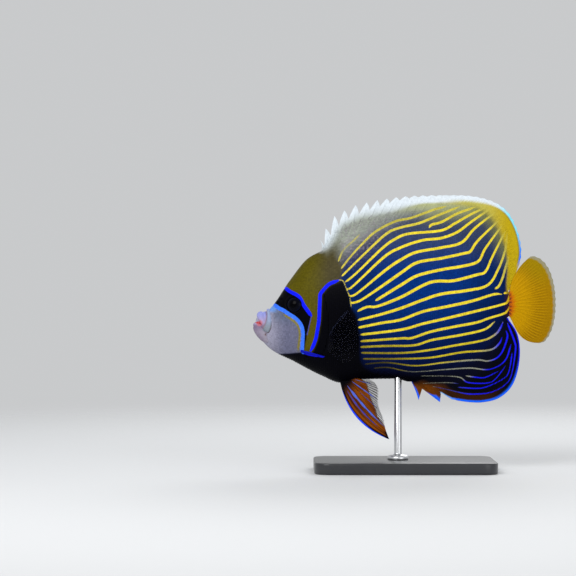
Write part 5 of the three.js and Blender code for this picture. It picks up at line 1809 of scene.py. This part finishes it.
def scale_piece(name, slot, root, normal, along, length, width, lift, unwrap):
    """A coat of scales as one mesh. Each has its own shade near 1 and, in the haze behind the
    nape, its own share of lilac. In the map OFBake each is a small patch at its root's place."""
    draw = np.random.default_rng(SCALE_SEED)
    count = len(root)
    length = length * draw.uniform(0.94, 1.06, count)
    lift = lift * draw.uniform(0.8, 1.15, count)
    points, faces, spot = scale_mesh(root, normal, along, length, width, lift)
    own = marks(points)
    per_scale = RIM_POINTS + 2
    shade = draw.uniform(0.84, 1.12, count)
    own["Tone"] = np.repeat(shade, per_scale)
    speck = draw.uniform(0, 1, count) ** 3
    share = np.repeat(speck * read(haze, root[:, 0], root[:, 2]), per_scale)
    own["Ground"] = mix(own["Ground"], LILAC, 0.75 * share[:, None])
    piece = make_piece(name, points, [faces], scale_finish, paint=own)
    layer = piece.data.uv_layers.new(name="OFBake")
    uv = (unwrap[:, None] + BAKE_PATCH * spot[None]).reshape(-1, 2)
    layer.data.foreach_set("uv", uv[faces.ravel()].astype(np.float32).ravel())
    piece.data.set_sharp_from_angle(angle=math.radians(60))
    return piece


# %% [markdown]
# On the body the rows of scales run from head to tail at even distances, measured over the skin
# from its middle line, and every second column is set half a row higher. Scales on the head are
# smaller. None lie on the jaws, the eye or the slit behind the gill cover.

# %% The body's scales
BODY_SCALE = {"pitch": 2.15, "row": 1.9, "length": 2.9, "width": 2.5, "lift": 0.3}
HEAD_SCALE = {"pitch": 1.45, "row": 1.3, "length": 2.0, "width": 1.75, "lift": 0.16}
TABLE_LEVELS = 241
coat_rise = np.where(cover_inside > 0, COVER_RISE, -SCALE_DEPTH + relief)
slit = ease(1.1, 0.6, np.abs(cover_inside)) * (side_x > -92) * (side_z > 121)
behind_gill = -region([(-220, 124)], spline(GILL_LINE, 5), [(-91, 300), (-220, 300)])


def skin_places(span, pitch, row):
    """Scale places over one side: x in even steps of pitch, and in each section the heights that
    lie a whole number of rows from its middle, plus a half in every second section. Returns x,
    z and the fraction of the way from belly to back over the skin."""
    stations = np.arange(span[0], span[1], pitch)
    n = np.sin(np.pi / 2 * np.linspace(-1, 1, TABLE_LEVELS))
    x = stations[:, None] + 0 * n[None, :]
    z = height_of(x, n)
    y = half_at_level(x, np.broadcast_to(n, x.shape))
    steps = np.hypot(np.diff(z, axis=1), np.diff(y, axis=1))
    run = np.concatenate([np.zeros((len(stations), 1)), np.cumsum(steps, axis=1)], axis=1)
    middle = TABLE_LEVELS // 2
    out = []
    for i, station in enumerate(stations):
        arc = run[i] - run[i, middle]
        numbers = np.arange(math.ceil(arc[0] / row), math.floor(arc[-1] / row)) + 0.5 * (i % 2)
        heights = np.interp(numbers * row, arc, z[i])
        place = (numbers * row - arc[0]) / (arc[-1] - arc[0])
        out.append(np.stack([np.full(len(heights), station), heights, place], -1))
    return np.concatenate(out)


def sized(sizes, share):
    """Length, width and lift of scales, times a share for each."""
    return [sizes[key] * share for key in ("length", "width", "lift")]


def skin_scales(places, side, sizes):
    """Roots on the skin's form, raised as the coat is there, pointing to the tail."""
    x, z, girth = places.T
    normal = skin_normal(x, z, side)
    root = np.stack([x, side * half_at(x, z), z], -1) + normal * read(coat_rise, x, z)[:, None]
    along = unit(np.array([1.0, 0, 0]) - normal * normal[:, :1])
    near_edge = ease(0, 0.05, np.minimum(girth, 1 - girth))
    size = mix(0.75, 1.0, near_edge) * mix(0.7, 1.0, ease(112, 70, x))
    unwrap = np.stack([(x + 160) / 320, 0.02 + 0.96 * girth], -1)
    return root, normal, along, *sized(sizes, size), unwrap


body_places = skin_places((-132, 109.5), BODY_SCALE["pitch"], BODY_SCALE["row"])
x, z = body_places[:, 0], body_places[:, 1]
body_places = body_places[(read(behind_gill, x, z) > 0.4) & (x < 109)]
head_places = skin_places((-147, -78), HEAD_SCALE["pitch"], HEAD_SCALE["row"])
x, z = head_places[:, 0], head_places[:, 1]
keep = (read(behind_gill, x, z) <= 0.4) & (read(jaw_inside, x, z) < -0.9)
keep &= (read(from_eye, x, z) > 10.6) & (read(slit, x, z) < 0.5)
for nostril in NOSTRILS:
    keep &= np.hypot(x - nostril[0], z - nostril[1]) > 2.2
head_places = head_places[keep]
for end, side in SIDES:
    scale_piece(f"scales_body_{end}", "body_skin", *skin_scales(body_places, side, BODY_SCALE))
    scale_piece(f"scales_head_{end}", "face_skin", *skin_scales(head_places, side, HEAD_SCALE))
print("scales on a side", len(body_places) + len(head_places))

# %% [markdown]
# On this fish the scales climb far up the back and anal fins, getting smaller towards the margin,
# and a few rows run out on the tail. Their rows follow the fin's own rows, and they turn from
# tailward to lie along the rays.


# %% The fins' scales
FIN_SCALE = {"pitch": 1.75, "row": 1.55, "length": 2.3, "width": 2.05, "lift": 0.2}


def fin_scales(middle, half, v, last_v, shrink):
    """Places on both faces of a fin. Rows are spaced along the longest ray, columns evenly along
    each row by its length. Sizes shrink from 1 at the root to shrink at last_v."""
    lengths = np.linalg.norm(middle[:, -1] - middle[:, 1], axis=1)
    row_count = int(last_v * lengths.max() / FIN_SCALE["row"])
    out = []
    columns = np.arange(middle.shape[0])
    for j in range(row_count):
        at_v = (j + 0.3) * last_v / row_count
        k = np.interp(at_v, v, np.arange(len(v)))
        k0 = int(k)
        line_now = mix(middle[:, k0], middle[:, k0 + 1], k - k0)
        thick = mix(half[:, k0], half[:, k0 + 1], k - k0)
        ray = middle[:, k0 + 1] - middle[:, k0]
        run = np.concatenate([[0], np.cumsum(np.linalg.norm(np.diff(line_now, axis=0), axis=1))])
        size = mix(1.0, shrink, at_v / last_v)
        pitch = FIN_SCALE["pitch"] * mix(1.0, size, 0.7)
        places = (np.arange(int(run[-1] / pitch)) + 0.5 * (j % 2) + 0.25) * pitch
        c = np.interp(places, run, columns)
        fields = (line_now[:, 0], line_now[:, 2], thick, ray[:, 0], ray[:, 2])
        out.append(np.stack([
            *(np.interp(c, columns, field) for field in fields),
            np.full(len(c), at_v), c / columns[-1], np.full(len(c), size),
        ], -1))
    return np.concatenate(out)


def fin_coat(name, slot, table):
    """Both faces of a fin's scales as one piece."""
    x, z, thick, ray_x, ray_z, at_v, at_u, size = table.T
    sets = []
    for side in (-1, 1):
        root = np.stack([x, side * (thick - 0.02), z], -1)
        normal = np.stack([0 * x, side + 0 * x, 0 * x], -1)
        ray = unit(np.stack([ray_x, 0 * x, ray_z], -1))
        along = unit(over(np.array([1.0, 0, 0]), ray, ease(-0.1, 0.35, at_v)))
        unwrap = np.stack([0.25 * (1 + side) + 0.01 + 0.48 * at_u, 0.01 + 0.98 * at_v], -1)
        sets.append((root, normal, along, *sized(FIN_SCALE, size), unwrap))
    return scale_piece(name, slot, *[np.concatenate(part) for part in zip(*sets)])


for name, part, last_v, shrink in (
    ("scales_dorsal_front", slice(0, spiny_columns), 0.5, 0.6),
    ("scales_dorsal_rear", slice(spiny_columns, None), 0.8, 0.5),
):
    table = fin_scales(dorsal_middle[part], dorsal_half[part], dorsal_v, last_v, shrink)
    fin_coat(name, "dorsal_fin_skin", table)
anal_table = fin_scales(anal_middle, anal_half, anal_v, 0.72, 0.5)
fin_coat("scales_anal", "anal_fin_skin", anal_table[anal_table[:, 0] > 14])

# %% [markdown]
# The stage is a pale floor that fades out into an even pale background, so no wall stands in the
# way of a view from behind. Light comes from broad soft lamps, the strongest high at the left.

# %% The stage, lights and camera
FLOOR_RADIUS = 1600
floor_rim = FLOOR_RADIUS * circle(full_turn(96), *np.eye(3)[:2])
floor = placed("floor", mesh_of("floor", floor_rim, [np.arange(len(floor_rim))[None]]))
floor_finish, tree, shader = new_material("pale_floor", 0.85, specular=0.2)
shader.inputs["Base Color"].default_value = (0.74, 0.75, 0.76, 1)
place = node(tree, "ShaderNodeTexCoord").outputs["Object"]
length = node(tree, "ShaderNodeVectorMath", operation="LENGTH")
tree.links.new(place, length.inputs[0])
fade = ranged(tree, length.outputs["Value"], (0.45, 1.5), (1.0, 0.0))
tree.links.new(fade, shader.inputs["Alpha"])
floor.data.materials.append(floor_finish)
floor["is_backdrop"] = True

world = bpy.data.worlds.new("pale_room")
bpy.context.scene.world = world
world.use_nodes = True
WORLD_LIGHT = 0.6
background = world.node_tree.nodes["Background"]
background.inputs["Color"].default_value = (0.97, 0.985, 1.0, 1)
background.inputs["Strength"].default_value = WORLD_LIGHT


def lamp(name, place, target, size, power):
    """A square soft lamp that faces a target."""
    light = bpy.data.lights.new(name, "AREA")
    light.size, light.energy = size, power
    made = placed(name, light)
    made.location = place
    away = np.array(place, float) - np.array(target, float)
    flat = math.hypot(away[0], away[1])
    made.rotation_euler = (math.atan2(flat, away[2]), 0, math.atan2(away[0], -away[1]))
    made.visible_camera = False


MIDDLE = (0.0, 0.0, 0.17)
lamp("key", (-0.75, -1.25, 1.15), MIDDLE, 0.9, 16)
lamp("fill", (0.95, -1.3, 0.5), MIDDLE, 1.0, 4.5)
lamp("back", (0.5, 1.35, 1.1), MIDDLE, 1.0, 10)

# The photograph looks square at the fish's left side. At this distance one pixel of it is
# PIXEL_MM on the fish's middle plane, and the lens gives that with a 36 mm wide sensor.
PIXEL_MM = 1.05
PHOTO_PIXELS = 576
MIDDLE_PIXEL = (404.25, 471)
LENS, SENSOR = 135.0, 36.0
camera_data = bpy.data.cameras.new("camera")
camera_data.lens, camera_data.sensor_width = LENS, SENSOR
camera = placed("camera", camera_data)
pixel, half_frame = PIXEL_MM * MM, PHOTO_PIXELS / 2
camera.location = (
    (half_frame - MIDDLE_PIXEL[0]) * pixel, -PHOTO_PIXELS * pixel * LENS / SENSOR,
    (MIDDLE_PIXEL[1] - half_frame) * pixel,
)
camera.rotation_euler = (math.pi / 2, 0, 0)
camera_data.clip_start, camera_data.clip_end = 0.05, 50
bpy.context.scene.camera = camera
bpy.context.scene.view_settings.view_transform = "Standard"
print("camera at", [round(c, 4) for c in camera.location])

# %% [markdown]
# Last, the box of the dressed model is printed.

# %% Sizes, and the end
low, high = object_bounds()
print("dressed box in mm", [[round(1000 * c, 2) for c in corner] for corner in (low, high)])
